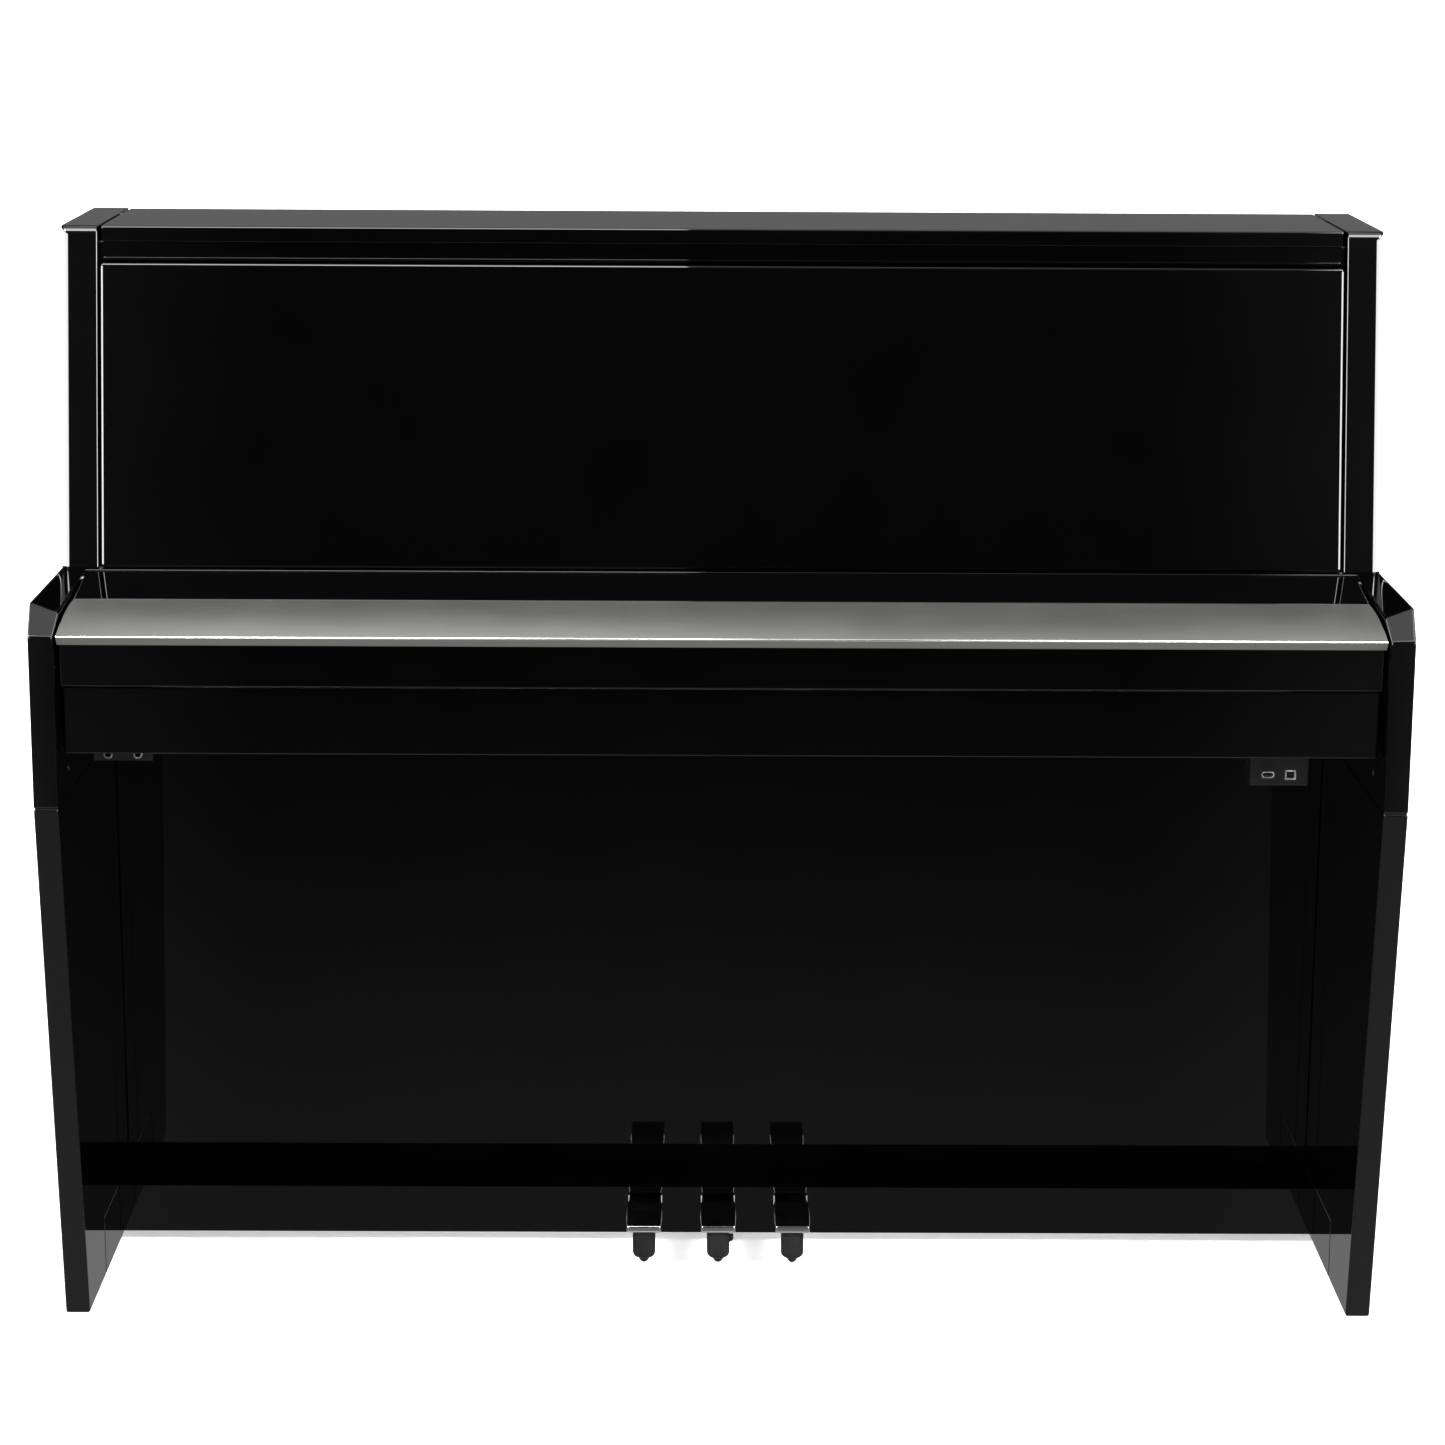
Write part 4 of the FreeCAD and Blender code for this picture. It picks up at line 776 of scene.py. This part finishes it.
def softbox(name, centre, target, width, height, radiance):
    light = bpy.data.lights.new(name, "AREA")
    light.shape = "RECTANGLE"
    light.size = width
    light.size_y = height
    light.energy = radiance * math.pi * width * height
    lamp = bpy.data.objects.new(name, light)
    lamp.location = centre
    lamp.rotation_euler = (Vector(target) - Vector(centre)).to_track_quat("-Z", "Y").to_euler()
    lamp.visible_camera = False
    bpy.context.scene.collection.objects.link(lamp)


def sun(name, azimuth, elevation, strength, angle):
    # azimuth from the front, positive to the right
    light = bpy.data.lights.new(name, "SUN")
    light.energy = strength
    light.angle = math.radians(angle)
    lamp = bpy.data.objects.new(name, light)
    lamp.rotation_euler = (math.radians(90 - elevation), 0, math.radians(azimuth))
    bpy.context.scene.collection.objects.link(lamp)


sky = {
    # how far up a direction points, from -1 to 1, and its brightness
    "levels": [(-1.0, 0.35), (-0.92, 0.50), (-0.80, 0.95), (-0.64, 0.40), (-0.50, 0.24), (-0.34, 0.18),
               (-0.28, 0.09), (-0.22, 0.02), (-0.05, 0.015), (0.35, 0.02), (0.60, 0.05), (0.85, 0.32),
               (1.0, 0.50)],
    "back": 0.17, "flank": 0.11,
    "strip": 22.0, "stripLean": 0.1765, "stripHeight": 0.033,
}


def makeSky():
    # a bright ceiling over a dark room; towards the ground it stands for the lit floor
    world = bpy.data.worlds.new("studio")
    bpy.context.scene.world = world
    world.use_nodes = True
    nodes, links = world.node_tree.nodes, world.node_tree.links
    background = nodes["Background"]
    coords = nodes.new("ShaderNodeTexCoord")
    split = nodes.new("ShaderNodeSeparateXYZ")
    links.new(coords.outputs["Generated"], split.inputs["Vector"])
    ramp = nodes.new("ShaderNodeValToRGB")
    elements = ramp.color_ramp.elements
    while len(elements) < len(sky["levels"]):
        elements.new(0.5)
    for element, (height, value) in zip(elements, sky["levels"]):
        element.position = (height + 1) / 2
        element.color = (value, value, value, 1)
    links.new(addRange(nodes, links, split.outputs["Z"], 0, 1, -1, 1), ramp.inputs["Fac"])
    # the room lightens a little behind, and in front away from the middle
    aside = addMath(nodes, links, "ABSOLUTE", split.outputs["X"])
    back = addRange(nodes, links, split.outputs["Y"], 0, sky["back"], 0.1, 0.8)
    flank = addRange(nodes, links, aside, 0, sky["flank"], 0.12, 0.20)
    ahead = addRange(nodes, links, split.outputs["Y"], 0, 1, 0.0, -0.3)
    room = addMath(nodes, links, "ADD", addMath(nodes, links, "MULTIPLY", flank, ahead), back)
    # low bright strips at both sides, leaning up towards the front: they line the rounded edges
    lean = nodes.new("ShaderNodeVectorMath")
    lean.operation = "DOT_PRODUCT"
    lean.inputs[1].default_value = (0, sky["stripLean"], 1)
    links.new(coords.outputs["Generated"], lean.inputs[0])
    offset = addMath(nodes, links, "SUBTRACT", lean.outputs["Value"], sky["stripHeight"])
    spread = addMath(nodes, links, "ABSOLUTE", offset)
    strip = addRange(nodes, links, spread, 0, sky["strip"], 0.070, 0.055)
    sides = addRange(nodes, links, aside, 0, 1, 0.30, 0.36)
    behind = addRange(nodes, links, split.outputs["Y"], 0, 1, 0.72, 0.66)
    reach = addMath(nodes, links, "MULTIPLY", behind, sides)
    strips = addMath(nodes, links, "MULTIPLY", strip, reach)
    everything = nodes.new("ShaderNodeVectorMath")
    everything.operation = "ADD"
    links.new(ramp.outputs["Color"], everything.inputs[0])
    links.new(addMath(nodes, links, "ADD", room, strips), everything.inputs[1])
    links.new(everything.outputs["Vector"], background.inputs["Color"])
    background.inputs["Strength"].default_value = 1.0


view = {"lens": 91.36, "sensor": 36, "reach": 400, "place": (-0.025, -4.058, 1.578),
        "tilt": 77.05, "turn": -0.382, "roll": 0.317}


def makeCamera():
    lens = bpy.data.cameras.new("camera")
    lens.sensor_width = view["sensor"]
    lens.lens = view["lens"]
    lens.clip_end = view["reach"]
    camera = bpy.data.objects.new("camera", lens)
    bpy.context.scene.collection.objects.link(camera)
    camera.location = view["place"]
    camera.rotation_mode = "XYZ"
    aim = Euler((math.radians(view["tilt"]), 0, math.radians(view["turn"])), "XYZ").to_matrix().to_4x4()
    roll = Matrix.Rotation(math.radians(view["roll"]), 4, "Z")
    camera.matrix_world = Matrix.Translation(camera.location) @ aim @ roll
    bpy.context.scene.camera = camera


makeFloor()
makeSky()
# boxes above the front edge line its roundings; the one behind them lights the metal strip
frontBoxes = {"Left": (-0.95, 1.8), "Right": (1.75, 1.2), "y": -0.85, "z": 3.8, "height": 1.4,
              "radiance": 13}
overheadBox = {"place": (0.0, 0.9, 3.8), "target": (0.0, 0.9, 0.0), "size": (2.5, 2.0), "radiance": 1.2}
suns = {"azimuth": 50, "elevation": 40, "strength": 4.0, "angle": 20}
for name in ("Left", "Right"):
    x, width = frontBoxes[name]
    softbox("front" + name, (x, frontBoxes["y"], frontBoxes["z"]), (x, frontBoxes["y"], 0.0), width,
            frontBoxes["height"], frontBoxes["radiance"])
softbox("overhead", overheadBox["place"], overheadBox["target"], *overheadBox["size"],
        overheadBox["radiance"])
for side in (-1, 1):
    sun("sun" + str(side), suns["azimuth"] * side, suns["elevation"], suns["strength"], suns["angle"])
bpy.context.scene.view_settings.view_transform = "Standard"
makeCamera()
print("studio ready")
